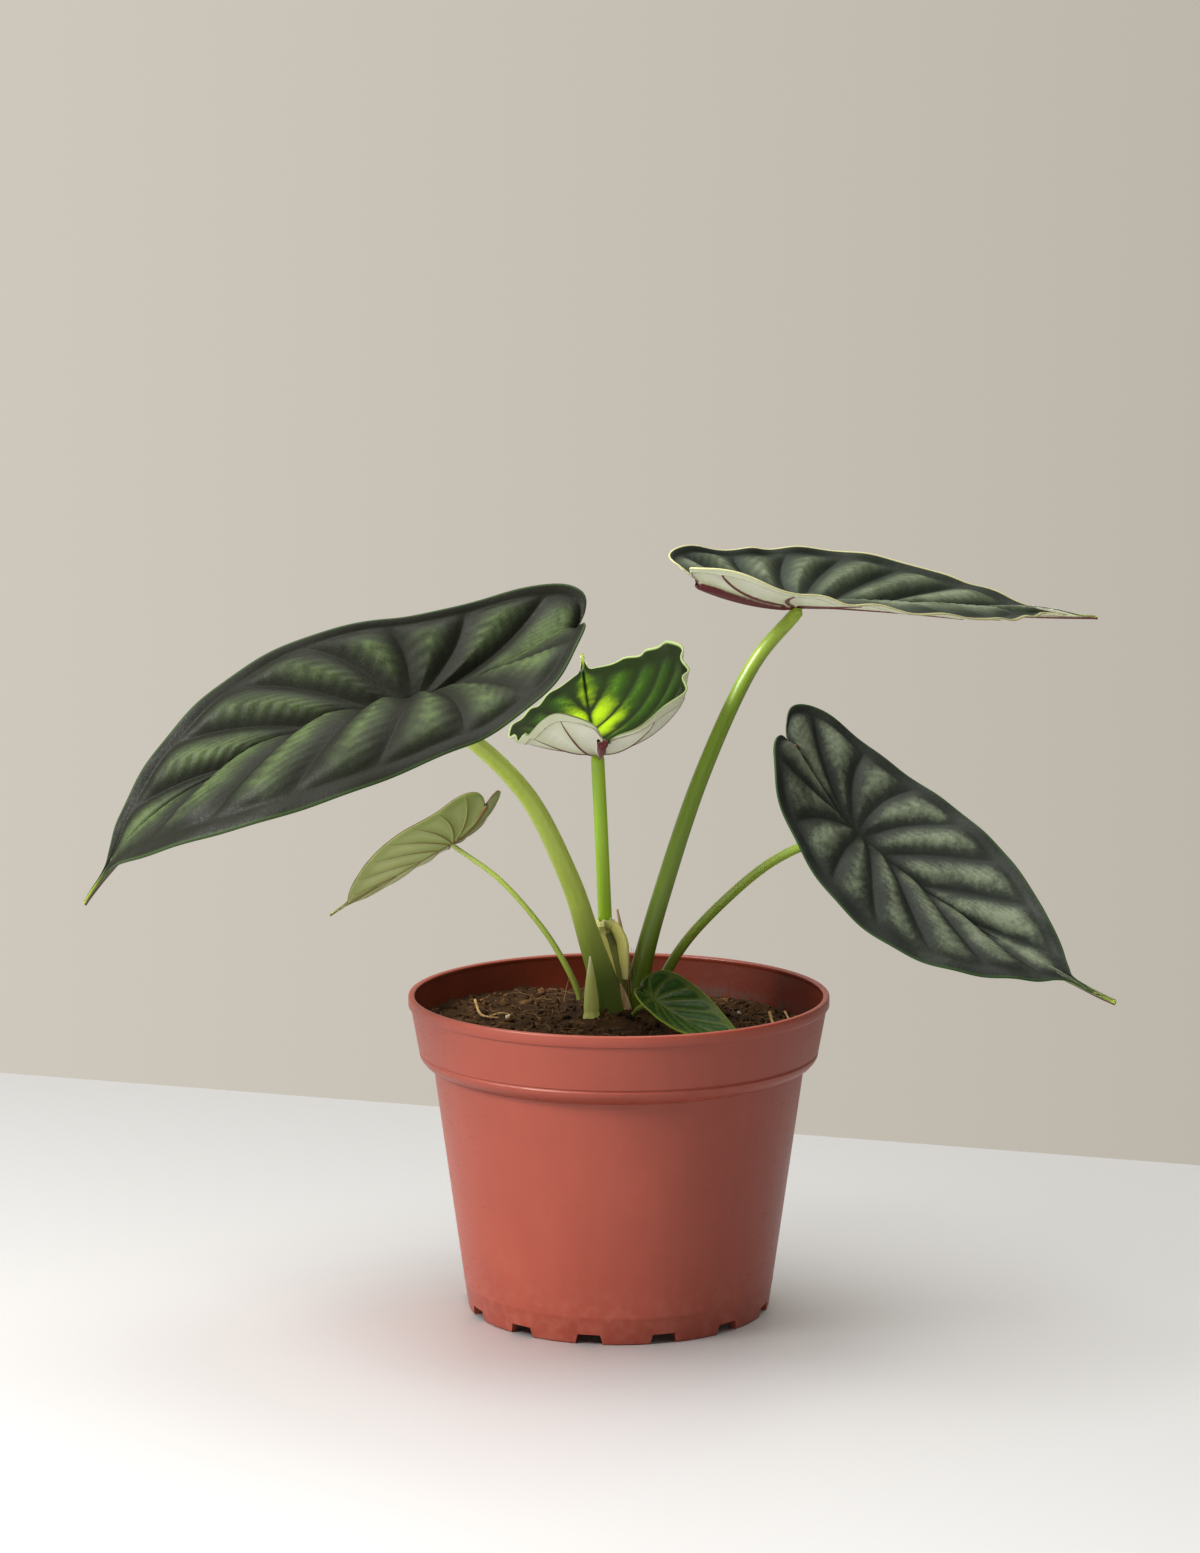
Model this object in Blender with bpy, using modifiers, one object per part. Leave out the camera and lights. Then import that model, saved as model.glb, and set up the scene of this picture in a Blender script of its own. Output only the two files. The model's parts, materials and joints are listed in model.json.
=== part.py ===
"""Potted alocasia: six shield-shaped leaves on a short rhizome, in a round plastic nursery pot.

Units are metres and +Z is up. The origin is the middle of the pot's foot, on the surface it stands on.
A leaf blade is a flat shield outline, bent along its midrib and across its two halves, then placed at
the top of its petiole. Local X runs from the petiole to the blade's tip, local Z out of its upper face.
"""

import math

import bmesh
import bpy
from mathutils import Matrix, Vector

GAP = 0.0003  # clearance kept between pieces that touch
SMALL = 0.00005  # merge distance

# Pot
POT_HEIGHT = 0.1135
RIM_RADIUS = 0.075
FOOT_RADIUS = 0.0542
POT_WALL = 0.0012
COLLAR_Z = 0.093  # where the collar starts to turn in
COLLAR_RADIUS = 0.0713
WALL_TOP_Z = 0.088  # top of the plain tapered wall
WALL_TOP_RADIUS = 0.0662
LIP_DEPTH = 0.0042
LIP_STEP = 0.0009
FLOOR_Z = 0.0039  # underside of the raised floor
FOOT_WIDTH = 0.0022
POT_STEPS = 40
NOTCH_COUNT = 13
NOTCH_WIDTH = 0.010
NOTCH_HEIGHT = 0.0036
FIRST_NOTCH = math.radians(-73.5)
DRAIN_COUNT = 8
DRAIN_RADIUS = 0.0019
DRAIN_CIRCLE = 0.036

# Soil
SOIL_LEVEL = 0.1008
CROWN = (0.0005, 0.0155)  # middle of the crown in plan
MOUND_HEIGHT = 0.0045
MOUND_SPREAD = 0.016
SOIL_DIP = 0.0028  # how far its edge falls on the low side
WALL_LEAN = 0.15  # how far the collar's inside leans out as it rises
SOCKET_SLACK = 0.0012

# Rhizome
RHIZOME_RADIUS = 0.0102
RHIZOME_TOP = 0.1049
RHIZOME_BOTTOM = 0.072

# Leaf blades
BLADE_THICKNESS = 0.0008
# Half outline of a blade whose length is 1: along the midrib from the petiole, and out from it.
OUTLINE = [
    (-0.40, 0.0),
    (-0.47, 0.05),
    (-0.50, 0.13),
    (-0.46, 0.23),
    (-0.34, 0.32),
    (-0.15, 0.375),
    (0.05, 0.41),
    (0.28, 0.415),
    (0.52, 0.36),
    (0.73, 0.255),
    (0.88, 0.145),
    (0.96, 0.06),
    (1.01, 0.02),
    (None, 0.005),
]
BEND_STEPS = 160
# Where the rows of a blade leave its midrib, against how far round the outline they end.
ROW_ENDS = [0.0, 0.12, 0.40, 0.50, 1.0]
ROW_FEET = [None, -0.10, 0.02, 0.12, None]

# One entry per leaf. Lengths in metres, angles in degrees.
#   at: where the petiole meets the blade; length: from there to the tip
#   tail: end of the thin drip tip against the length
#   width, lobes: half widths and rear lobes (left, right) against the outline
#   turn: compass heading of the tip, left of +X; tilt: tip up; roll: left side up
#   nod: bend of the midrib towards the tip, and its growth; rise: bend towards the rear
#   fold: how far each half stands up at the midrib (left, right), and how that grows to the tip
#   cup: further bend out to the margin (left, right); twist: along the midrib; sweep: tip to the left
LEAVES = {
    "large_left": dict(
        at=(-0.0696, -0.044, 0.224), length=0.123, tail=1.12, width=(1.0, 0.66), lobes=(1.38, 1.19),
        turn=207, tilt=-4.6, roll=-28.4, nod=(-54, 0), rise=34,
        fold=(49, 23), fold_growth=(-2, -28), cup=(-64, 2), twist=-14, sweep=-1.6,
        rows=22, columns=14,
    ),
    "young_centre": dict(
        at=(-0.0077, 0.010, 0.1996), length=0.081, tail=1.18, width=(0.91, 1.43), lobes=(1.26, 1.02),
        turn=94, tilt=4.8, roll=-3.2, nod=(17, 0), rise=41,
        fold=(3, 5), fold_growth=(-7, -3), cup=(19, 49), twist=-14, sweep=-1.4,
        rows=18, columns=14,
    ),
    "high_right": dict(
        at=(0.0640, 0.026, 0.2504), length=0.101, tail=1.22, width=(0.79, 0.80), lobes=(1.01, 1.02),
        turn=27, tilt=-4.3, roll=1, nod=(-4, 5), rise=23,
        fold=(19, 1), fold_growth=(3, -5), cup=(35, 13), twist=4, sweep=-8,
        rows=20, columns=12,
    ),
    "hanging_right": dict(
        at=(0.0823, -0.032, 0.1763), length=0.090, tail=1.18, width=(0.84, 0.93), lobes=(1.09, 0.99),
        turn=-14, tilt=-43, roll=20, nod=(20, 0), rise=22,
        fold=(28, 19), fold_growth=(16, 5), cup=(1, -51), twist=16, sweep=3.3,
        rows=18, columns=12,
    ),
    "small_left": dict(
        at=(-0.0615, 0.0473, 0.1604), length=0.0494, tail=1.18, width=(0.88, 0.97), lobes=(0.97, 1.04),
        turn=155.4, tilt=-31, roll=9.3, nod=(-2, 0), rise=40,
        fold=(21, -3), fold_growth=(-7, -3), cup=(15, 43), twist=1, sweep=5,
        rows=14, columns=8,
    ),
    "low_front": dict(
        at=(0.0127, -0.0148, 0.1137), length=0.0356, tail=1.18, width=(0.93, 0.85), lobes=(0.47, 0.42),
        turn=-20, tilt=-35, roll=16.5, nod=(37, 0), rise=20,
        fold=(15, 11), fold_growth=(-7, -17), cup=(36, 17), twist=-8, sweep=-5,
        rows=12, columns=8,
    ),
}

# Petioles: the route from the foot up, before it reaches the blade, and the radius at foot and top.
PETIOLES = {
    "large_left": dict(
        route=[(-0.0030, 0.0110, 0.1052), (-0.0052, 0.0105, 0.1140), (-0.0103, 0.0080, 0.1308),
               (-0.0174, 0.0020, 0.1537), (-0.0313, -0.0090, 0.1841), (-0.0499, -0.0260, 0.2065)],
        foot=0.0043, top=0.0026,
    ),
    "young_centre": dict(
        route=[(-0.0036, 0.0206, 0.1052), (-0.0040, 0.0195, 0.1200), (-0.0050, 0.0165, 0.1400),
               (-0.0065, 0.0120, 0.1750)],
        foot=0.0026, top=0.0024,
    ),
    "high_right": dict(
        route=[(0.0056, 0.0166, 0.1052), (0.0075, 0.0160, 0.1160), (0.0149, 0.0160, 0.1440),
               (0.0292, 0.0190, 0.1872), (0.0471, 0.0225, 0.2265)],
        foot=0.0036, top=0.0024,
    ),
    "hanging_right": dict(
        route=[(0.0138, 0.0260, 0.0950), (0.0141, 0.0258, 0.1040), (0.0182, 0.0236, 0.1175),
               (0.0293, 0.0150, 0.1350), (0.0501, 0.0000, 0.1576), (0.0672, -0.0150, 0.1697)],
        foot=0.0019, top=0.0016,
    ),
    "small_left": dict(
        route=[(-0.0140, 0.0430, 0.0960), (-0.0146, 0.0430, 0.1040), (-0.0200, 0.0432, 0.1160),
               (-0.0288, 0.0440, 0.1297), (-0.0435, 0.0450, 0.1463)],
        foot=0.0012, top=0.0009,
    ),
    "low_front": dict(
        route=[(0.0050, 0.0030, 0.0960), (0.0051, 0.0026, 0.1035), (0.0072, -0.0030, 0.1082)],
        foot=0.0010, top=0.0009,
    ),
}
PLANTED = ["hanging_right", "small_left", "low_front"]  # petioles with a socket of their own
PETIOLE_POINTS = 11
STUB = 0.0022  # upright stretch at the foot of a petiole, which keeps its end face level

# Cataphylls: the pale pointed one beside the crown, the one wrapped round the young leaf, a dry one.
POINTED_ROUTE = [(-0.0096, 0.0030, 0.0950), (-0.0097, 0.0028, 0.1060), (-0.0100, 0.0022, 0.1180),
                 (-0.0102, 0.0014, 0.1255)]
POINTED_RADII = [0.0024, 0.0025, 0.0016, 0.0003]
WRAP_RADIUS = 0.0030
WRAP_WALL = 0.0008
WRAP_ANGLES = (math.radians(-20), math.radians(290))
WRAP_SPAN = (0.1052, 0.1345)
DRY_ROUTE = [(0.0040, 0.0245, 0.1052), (0.0030, 0.0248, 0.1200), (-0.0005, 0.0250, 0.1390)]
DRY_RADII = [0.0009, 0.0008, 0.0003]

GREEN_DARK = (0.045, 0.075, 0.040)
GREEN_FRESH = (0.120, 0.260, 0.040)
GREEN_PALE = (0.300, 0.380, 0.180)
CREAM = (0.620, 0.640, 0.300)
STRAW = (0.560, 0.430, 0.260)
TERRACOTTA = (0.480, 0.120, 0.075)
PEAT = (0.075, 0.045, 0.030)
CORM_BROWN = (0.160, 0.100, 0.060)


def clear_scene():
    for obj in list(bpy.data.objects):
        bpy.data.objects.remove(obj, do_unlink=True)


def new_collection(name, hidden=False):
    collection = bpy.data.collections.new(name)
    bpy.context.scene.collection.children.link(collection)
    collection.hide_render = hidden
    return collection


def new_material(name, colour, roughness):
    material = bpy.data.materials.new(name)
    material.use_nodes = True
    shader = material.node_tree.nodes["Principled BSDF"]
    shader.inputs["Base Color"].default_value = (*colour, 1.0)
    shader.inputs["Roughness"].default_value = roughness
    return material


def add_object(name, data, collection, material=None):
    obj = bpy.data.objects.new(name, data)
    collection.objects.link(obj)
    if material:
        data.materials.append(material)
    return obj


def object_from(bm, name, collection, material=None):
    mesh = bpy.data.meshes.new(name)
    bm.to_mesh(mesh)
    bm.free()
    mesh.shade_smooth()
    return add_object(name, mesh, collection, material)


def as_mesh(obj):
    """Replaces an object by the welded mesh that its curve or modifiers make."""
    bpy.context.view_layer.update()
    graph = bpy.context.evaluated_depsgraph_get()
    mesh = bpy.data.meshes.new_from_object(obj.evaluated_get(graph))
    name = obj.name
    collection = obj.users_collection[0]
    bpy.data.objects.remove(obj, do_unlink=True)
    bm = bmesh.new()
    bm.from_mesh(mesh)
    bmesh.ops.remove_doubles(bm, verts=bm.verts, dist=SMALL)
    bm.to_mesh(mesh)
    bm.free()
    return add_object(name, mesh, collection)


def turned(name, profile, steps, collection, material=None):
    """A solid of revolution about the Z axis, from a profile that runs down its outer side."""
    mesh = bpy.data.meshes.new(name)
    mesh.from_pydata([(r, 0, z) for r, z in profile], [(i, i + 1) for i in range(len(profile) - 1)], [])
    obj = add_object(name, mesh, collection, material)
    screw = obj.modifiers.new("turn", "SCREW")
    screw.steps = steps
    screw.render_steps = steps
    screw.use_merge_vertices = True
    screw.merge_threshold = SMALL
    screw.use_smooth_shade = True
    return obj


def cut(obj, cutter):
    boolean = obj.modifiers.new(cutter.name, "BOOLEAN")
    boolean.operation = "DIFFERENCE"
    boolean.object = cutter
    cutter.display_type = "WIRE"
    cutter.hide_render = True


def interpolate(at, knots, values):
    for i in range(len(knots) - 1):
        if at <= knots[i + 1]:
            share = (at - knots[i]) / (knots[i + 1] - knots[i])
            return values[i] + share * (values[i + 1] - values[i])
    return values[-1]


def smooth_curve(points, count):
    """Evenly spaced points on a smooth curve through the given ones."""
    points = [Vector(p) for p in points]
    ends = [2 * points[0] - points[1], *points, 2 * points[-1] - points[-2]]
    fine = [points[0]]
    for a, b, c, d in zip(ends, ends[1:], ends[2:], ends[3:]):
        for step in range(1, 21):
            t = step / 20
            fine.append(
                b + 0.5 * t * ((c - a) + t * ((2 * a - 5 * b + 4 * c - d) + t * (3 * (b - c) + d - a)))
            )
    travelled = [0.0]
    for start, end in zip(fine, fine[1:]):
        travelled.append(travelled[-1] + (end - start).length)
    spots = [travelled[-1] * i / (count - 1) for i in range(count)]
    return [interpolate(spot, travelled, fine) for spot in spots]


def tube(name, points, radii, collection, material=None):
    """A round solid along points, its radius going evenly through the given ones."""
    curve = bpy.data.curves.new(name, "CURVE")
    curve.dimensions = "3D"
    curve.bevel_depth = 1.0
    curve.bevel_resolution = 2
    curve.use_fill_caps = True
    spline = curve.splines.new("POLY")
    spline.points.add(len(points) - 1)
    knots = [i / (len(radii) - 1) for i in range(len(radii))]
    for i, point in enumerate(points):
        spline.points[i].co = (*point, 1.0)
        spline.points[i].radius = interpolate(i / (len(points) - 1), knots, radii)
    return add_object(name, curve, collection, material)


# Pot -------------------------------------------------------------------------------------------


def wall_radius(z):
    """Outer radius of the plain tapered wall below the collar."""
    return FOOT_RADIUS + (WALL_TOP_RADIUS - FOOT_RADIUS) * z / WALL_TOP_Z


def inner_profile():
    """Inside of the pot, from the edge of its floor up to the lip."""
    floor = FLOOR_Z + POT_WALL
    return [
        (wall_radius(floor) - POT_WALL, floor),
        (WALL_TOP_RADIUS - POT_WALL, WALL_TOP_Z + 0.0004),
        (WALL_TOP_RADIUS + 0.0006, WALL_TOP_Z + 0.0015),
        (COLLAR_RADIUS - 0.0026, COLLAR_Z - 0.0018),
        (COLLAR_RADIUS - POT_WALL, COLLAR_Z + 0.0006),
        (RIM_RADIUS - LIP_STEP - POT_WALL, POT_HEIGHT - 0.0012),
    ]


def outer_profile():
    """Outside of the pot, from the lip down to the foot."""
    return [
        (RIM_RADIUS - 0.0014, POT_HEIGHT),
        (RIM_RADIUS - 0.0006, POT_HEIGHT),
        (RIM_RADIUS, POT_HEIGHT - 0.0007),
        (RIM_RADIUS, POT_HEIGHT - LIP_DEPTH + 0.0006),
        (RIM_RADIUS - LIP_STEP, POT_HEIGHT - LIP_DEPTH),
        (COLLAR_RADIUS, COLLAR_Z),
        (COLLAR_RADIUS - 0.0008, COLLAR_Z - 0.0020),
        (COLLAR_RADIUS - 0.0020, COLLAR_Z - 0.0034),
        (WALL_TOP_RADIUS + 0.0008, WALL_TOP_Z + 0.0005),
        (WALL_TOP_RADIUS, WALL_TOP_Z),
        (FOOT_RADIUS, 0.0006),
        (FOOT_RADIUS - 0.0005, 0.0),
        (FOOT_RADIUS - FOOT_WIDTH, 0.0),
        (FOOT_RADIUS - FOOT_WIDTH - 0.0004, FLOOR_Z),
    ]


def foot_notches(collection):
    """Thirteen tapered blocks in a ring, for the drain notches of the foot."""
    bm = bmesh.new()
    for i in range(NOTCH_COUNT):
        angle = FIRST_NOTCH + 2 * math.pi * i / NOTCH_COUNT
        spot = Matrix.Rotation(angle, 4, "Z") @ Matrix.Translation((FOOT_RADIUS - 0.001, 0, 0))
        made = bmesh.ops.create_cube(bm, size=1.0)
        for vert in made["verts"]:
            narrow = 0.7 if vert.co.z > 0 else 1.0
            height = NOTCH_HEIGHT if vert.co.z > 0 else -0.002
            vert.co = spot @ Vector((vert.co.x * 0.006, vert.co.y * NOTCH_WIDTH * narrow, height))
    return object_from(bm, "foot_notches", collection)


def drain_holes(collection):
    bm = bmesh.new()
    for i in range(DRAIN_COUNT):
        angle = 2 * math.pi * (i + 0.5) / DRAIN_COUNT
        spot = Matrix.Translation(
            (DRAIN_CIRCLE * math.cos(angle), DRAIN_CIRCLE * math.sin(angle), FLOOR_Z)
        )
        bmesh.ops.create_cone(
            bm, cap_ends=True, segments=8, radius1=DRAIN_RADIUS, radius2=DRAIN_RADIUS,
            depth=0.006, matrix=spot,
        )
    return object_from(bm, "drain_holes", collection)


def make_pot(collection, cutters):
    profile = [(0, FLOOR_Z + POT_WALL), *inner_profile(), *outer_profile(), (0, FLOOR_Z)]
    pot = turned(
        "pot", profile, POT_STEPS, collection, new_material("terracotta_plastic", TERRACOTTA, 0.45)
    )
    cut(pot, foot_notches(cutters))
    cut(pot, drain_holes(cutters))


# Soil and rhizome ------------------------------------------------------------------------------


def soil_height(x, y):
    """Height of the soil's surface: a low mound at the crown, higher to the left than to the right."""
    away = math.hypot(x - CROWN[0], y - CROWN[1])
    mound = MOUND_HEIGHT * math.exp(-0.5 * (away / MOUND_SPREAD) ** 2)
    slope = -0.030 * x
    ripple = 0.0005 * math.sin(170 * x + 1.0) * math.cos(140 * y)
    return SOIL_LEVEL + mound + slope + ripple


def socket(name, x, y, radius, bottom, collection):
    bm = bmesh.new()
    top = 0.115
    bmesh.ops.create_cone(
        bm, cap_ends=True, segments=16, radius1=radius, radius2=radius, depth=top - bottom,
        matrix=Matrix.Translation((x, y, (top + bottom) / 2)),
    )
    return object_from(bm, name, collection)


def make_soil(collection, cutters):
    wall = [(r - GAP / math.cos(math.pi / POT_STEPS), z) for r, z in inner_profile()[:-1]]
    wall[0] = (wall[0][0], wall[0][1] + GAP)
    edge = wall[-1][0] + (SOIL_LEVEL - SOIL_DIP - COLLAR_Z) * WALL_LEAN
    rings = [0.0, 0.010, 0.020, 0.032, 0.045, 0.058, edge]
    profile = [(r, SOIL_LEVEL) for r in rings] + wall[::-1] + [(0, wall[0][1])]
    soil = as_mesh(turned("soil", profile, POT_STEPS, collection))
    for vert in soil.data.vertices:
        if vert.co.z > SOIL_LEVEL - SMALL:
            vert.co.z = soil_height(vert.co.x, vert.co.y)
    soil.data.materials.append(new_material("peat_soil", PEAT, 0.95))
    cut(soil, socket("rhizome_socket", *CROWN, RHIZOME_RADIUS + 2 * GAP, RHIZOME_BOTTOM - GAP, cutters))
    feet = [(PETIOLES[name]["route"][0], PETIOLES[name]["foot"]) for name in PLANTED]
    feet.append((POINTED_ROUTE[0], POINTED_RADII[1]))
    for number, ((x, y, z), radius) in enumerate(feet):
        cut(soil, socket(f"socket_{number}", x, y, radius + SOCKET_SLACK, z - GAP, cutters))


def make_rhizome(collection):
    shape = [
        (0.0, RHIZOME_TOP),
        (0.90 * RHIZOME_RADIUS, RHIZOME_TOP),
        (RHIZOME_RADIUS, RHIZOME_TOP - 0.0012),
        (0.98 * RHIZOME_RADIUS, 0.092),
        (0.85 * RHIZOME_RADIUS, 0.080),
        (0.50 * RHIZOME_RADIUS, 0.074),
        (0.0, RHIZOME_BOTTOM),
    ]
    rhizome = turned("rhizome", shape, 16, collection, new_material("corm", CORM_BROWN, 0.8))
    rhizome.location = (*CROWN, 0)


# Leaf blades -----------------------------------------------------------------------------------


def rotation(turn, tilt, roll):
    return (
        Matrix.Rotation(math.radians(turn), 4, "Z")
        @ Matrix.Rotation(-math.radians(tilt), 4, "Y")
        @ Matrix.Rotation(math.radians(roll), 4, "X")
    )


def midrib(leaf):
    """(x, rise, slope) along the bent midrib, with the petiole at 0 and the slope in radians."""
    step = 2.0 / BEND_STEPS
    slopes = []
    for i in range(BEND_STEPS + 1):
        x = -0.7 + step * i
        if x > 0:
            slopes.append(math.radians(leaf["nod"][0] * x + leaf["nod"][1] * x * x))
        else:
            slopes.append(math.radians(leaf["rise"] * 2 * x))
    along, rise = [0.0], [0.0]
    for slope in slopes[1:]:
        along.append(along[-1] + step * math.cos(slope))
        rise.append(rise[-1] + step * math.sin(slope))
    flat = [-0.7 + step * i for i in range(BEND_STEPS + 1)]
    at_petiole = (interpolate(0.0, flat, along), interpolate(0.0, flat, rise))
    return flat, [a - at_petiole[0] for a in along], [r - at_petiole[1] for r in rise], slopes


def half_section(reach, fold, cup):
    """Out and up at a distance from the midrib, for a half that folds up and then bends on."""
    out, up = 0.0, 0.0
    steps = 12
    for i in range(steps):
        angle = math.radians(fold + cup * reach * (i + 0.5) / steps / 0.4)
        out += math.cos(angle) * reach / steps
        up += math.sin(angle) * reach / steps
    return out, up


def bend(leaf, spine, x, reach, half):
    """Local place of a point of the flat blade. half is 0 for the left half and 1 for the right."""
    flat, along, rise, slopes = spine
    fold = leaf["fold"][half] + leaf["fold_growth"][half] * x
    out, up = half_section(reach, fold, leaf["cup"][half])
    if half:
        out = -out
    twist = math.radians(leaf["twist"] * x)
    side = out * math.cos(twist) - up * math.sin(twist)
    lift = out * math.sin(twist) + up * math.cos(twist)
    slope = interpolate(x, flat, slopes)
    forward = interpolate(x, flat, along) - math.sin(slope) * lift
    height = interpolate(x, flat, rise) + math.cos(slope) * lift
    if forward > 0:
        side += forward**2 * math.tan(math.radians(leaf["sweep"])) / 2
    return Vector((forward, side, height)) * leaf["length"]


def outline(leaf, half, count):
    """Points round one half of the flat blade, from the notch between the lobes to the tip."""
    line = []
    for x, reach in [*OUTLINE[:-1], (leaf["tail"], OUTLINE[-1][1])]:
        line.append((x * leaf["lobes"][half] if x < 0 else x, reach * leaf["width"][half], 0.0))
    return smooth_curve(line, count)


def blade_point(leaf, spine, edge, share, across):
    """A point between the midrib and the edge, on the row that ends at that share of the outline."""
    half = 0 if across >= 0 else 1
    notch = OUTLINE[0][0] * (leaf["lobes"][0] + leaf["lobes"][1]) / 2
    feet = [notch, *ROW_FEET[1:-1], leaf["tail"]]
    foot = interpolate(share, ROW_ENDS, feet)
    x = foot + (edge[half].x - foot) * abs(across)
    return bend(leaf, spine, x, edge[half].y * abs(across), half)


def make_blade(name, leaf, collection, material):
    rows, columns = leaf["rows"], leaf["columns"]
    spine = midrib(leaf)
    edges = [outline(leaf, half, rows + 1) for half in (0, 1)]
    place = Matrix.Translation(leaf["at"]) @ rotation(leaf["turn"], leaf["tilt"], leaf["roll"])
    bm = bmesh.new()
    bmesh.ops.create_grid(bm, x_segments=rows, y_segments=columns, size=1.0)
    for vert in bm.verts:
        row = round((vert.co.x + 1) / 2 * rows)
        edge = (edges[0][row], edges[1][row])
        vert.co = place @ blade_point(leaf, spine, edge, row / rows, vert.co.y)
    bmesh.ops.remove_doubles(bm, verts=bm.verts, dist=0.0002)
    blade = object_from(bm, f"blade_{name}", collection, material)
    solidify = blade.modifiers.new("thickness", "SOLIDIFY")
    solidify.thickness = BLADE_THICKNESS
    solidify.offset = -1.0
    return blade


# Petioles and cataphylls -----------------------------------------------------------------------


def petiole_end(leaf, radius, before):
    """Top of a petiole: just under the blade, clear of its underside."""
    place = rotation(leaf["turn"], leaf["tilt"], leaf["roll"])
    normal = (place @ Vector((0, 0, 1, 0))).xyz
    at = Vector(leaf["at"])
    heading = (at - Vector(before)).normalized()
    lean = min(1.0, heading.cross(normal).length)
    return at - normal * (BLADE_THICKNESS + 3 * GAP + 1.15 * radius * lean)


def make_petiole(name, petiole, collection, material):
    route = petiole["route"]
    end = petiole_end(LEAVES[name], petiole["top"], route[-1])
    foot = Vector(route[0])
    points = [foot, *smooth_curve([foot + Vector((0, 0, STUB)), *route[1:], end], PETIOLE_POINTS)]
    tube(f"petiole_{name}", points, [petiole["foot"], petiole["top"]], collection, material)


def make_wrapped_cataphyll(collection):
    """A thin sheath, open on one side, round the foot of the young leaf's petiole."""
    petiole = PETIOLES["young_centre"]["route"]
    heights = [z for x, y, z in petiole]
    bm = bmesh.new()
    bmesh.ops.create_grid(bm, x_segments=10, y_segments=5, size=1.0)
    for vert in bm.verts:
        turn = WRAP_ANGLES[0] + (WRAP_ANGLES[1] - WRAP_ANGLES[0]) * (vert.co.x + 1) / 2
        rise = WRAP_SPAN[0] + (WRAP_SPAN[1] - WRAP_SPAN[0]) * (vert.co.y + 1) / 2
        x = interpolate(rise, heights, [p[0] for p in petiole])
        y = interpolate(rise, heights, [p[1] for p in petiole])
        vert.co = (x + WRAP_RADIUS * math.cos(turn), y + WRAP_RADIUS * math.sin(turn), rise)
    material = new_material("cream_cataphyll", CREAM, 0.5)
    sheath = object_from(bm, "cataphyll_wrapped", collection, material)
    solidify = sheath.modifiers.new("thickness", "SOLIDIFY")
    solidify.thickness = WRAP_WALL
    solidify.offset = 1.0


def make_cataphylls(collection):
    pale = new_material("pale_cataphyll", GREEN_PALE, 0.5)
    dry = new_material("dry_sheath", STRAW, 0.9)
    tube("cataphyll_pointed", smooth_curve(POINTED_ROUTE, 9), POINTED_RADII, collection, pale)
    make_wrapped_cataphyll(collection)
    tube("cataphyll_dry", smooth_curve(DRY_ROUTE, 7), DRY_RADII, collection, dry)


def make_leaves(collection):
    dark = new_material("dark_blade", GREEN_DARK, 0.45)
    fresh = new_material("fresh_blade", GREEN_FRESH, 0.35)
    stem = new_material("petiole", GREEN_FRESH, 0.4)
    fresh_leaves = ("young_centre", "low_front")
    for name, leaf in LEAVES.items():
        make_blade(name, leaf, collection, fresh if name in fresh_leaves else dark)
        make_petiole(name, PETIOLES[name], collection, stem)


def main():
    clear_scene()
    plant = new_collection("potted_alocasia")
    cutters = new_collection("cutters", hidden=True)
    make_pot(plant, cutters)
    make_soil(plant, cutters)
    make_rhizome(plant)
    make_leaves(plant)
    make_cataphylls(plant)


main()
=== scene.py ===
"""Looks of the potted alocasia: quilted leaves on petioles, sheaths, peat soil and a nursery pot.

Units are metres and +Z is up, in the frame of the CAD model. Leaves, petioles and pot have the part's
driving values, apart from one lobe of large_left, the rise of young_centre's lobes, the leaf tips, the
feet of the main petioles, the sheaths and the edge of the soil. Veins, ribs, crumbs and finishes are
added here.
"""

import json
import math
import random

import bmesh
import bpy
import numpy as np
from mathutils import Matrix, Vector, noise

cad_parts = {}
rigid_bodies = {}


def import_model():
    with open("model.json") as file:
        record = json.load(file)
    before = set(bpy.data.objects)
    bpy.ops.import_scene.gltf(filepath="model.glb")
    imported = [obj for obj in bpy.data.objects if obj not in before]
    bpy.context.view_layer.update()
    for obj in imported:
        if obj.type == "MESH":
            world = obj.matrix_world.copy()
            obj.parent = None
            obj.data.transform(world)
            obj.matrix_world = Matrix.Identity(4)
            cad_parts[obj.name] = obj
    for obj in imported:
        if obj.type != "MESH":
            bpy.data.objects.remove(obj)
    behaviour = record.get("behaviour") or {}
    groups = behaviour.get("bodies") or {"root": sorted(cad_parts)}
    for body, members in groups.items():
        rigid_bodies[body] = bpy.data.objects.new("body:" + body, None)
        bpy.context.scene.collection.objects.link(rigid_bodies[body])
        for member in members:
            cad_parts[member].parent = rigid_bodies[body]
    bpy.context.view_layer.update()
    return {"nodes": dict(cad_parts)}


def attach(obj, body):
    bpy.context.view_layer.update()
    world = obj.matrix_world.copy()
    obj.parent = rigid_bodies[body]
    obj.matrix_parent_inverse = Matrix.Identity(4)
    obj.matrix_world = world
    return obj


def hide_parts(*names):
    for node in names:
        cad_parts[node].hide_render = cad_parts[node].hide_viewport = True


for startup_object in list(bpy.data.objects):
    bpy.data.objects.remove(startup_object, do_unlink=True)
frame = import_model()

DRAWS = random.Random(11)
MERGE = 0.00004  # points nearer than this become one
CURVE_STEPS = 20  # between two given points of a smooth curve
MM = 0.001

# Pot
POT_HEIGHT = 0.1135
RIM_RADIUS = 0.075
FOOT_RADIUS = 0.0542
POT_WALL = 0.0012
COLLAR_Z = 0.093
COLLAR_RADIUS = 0.0713
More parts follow.
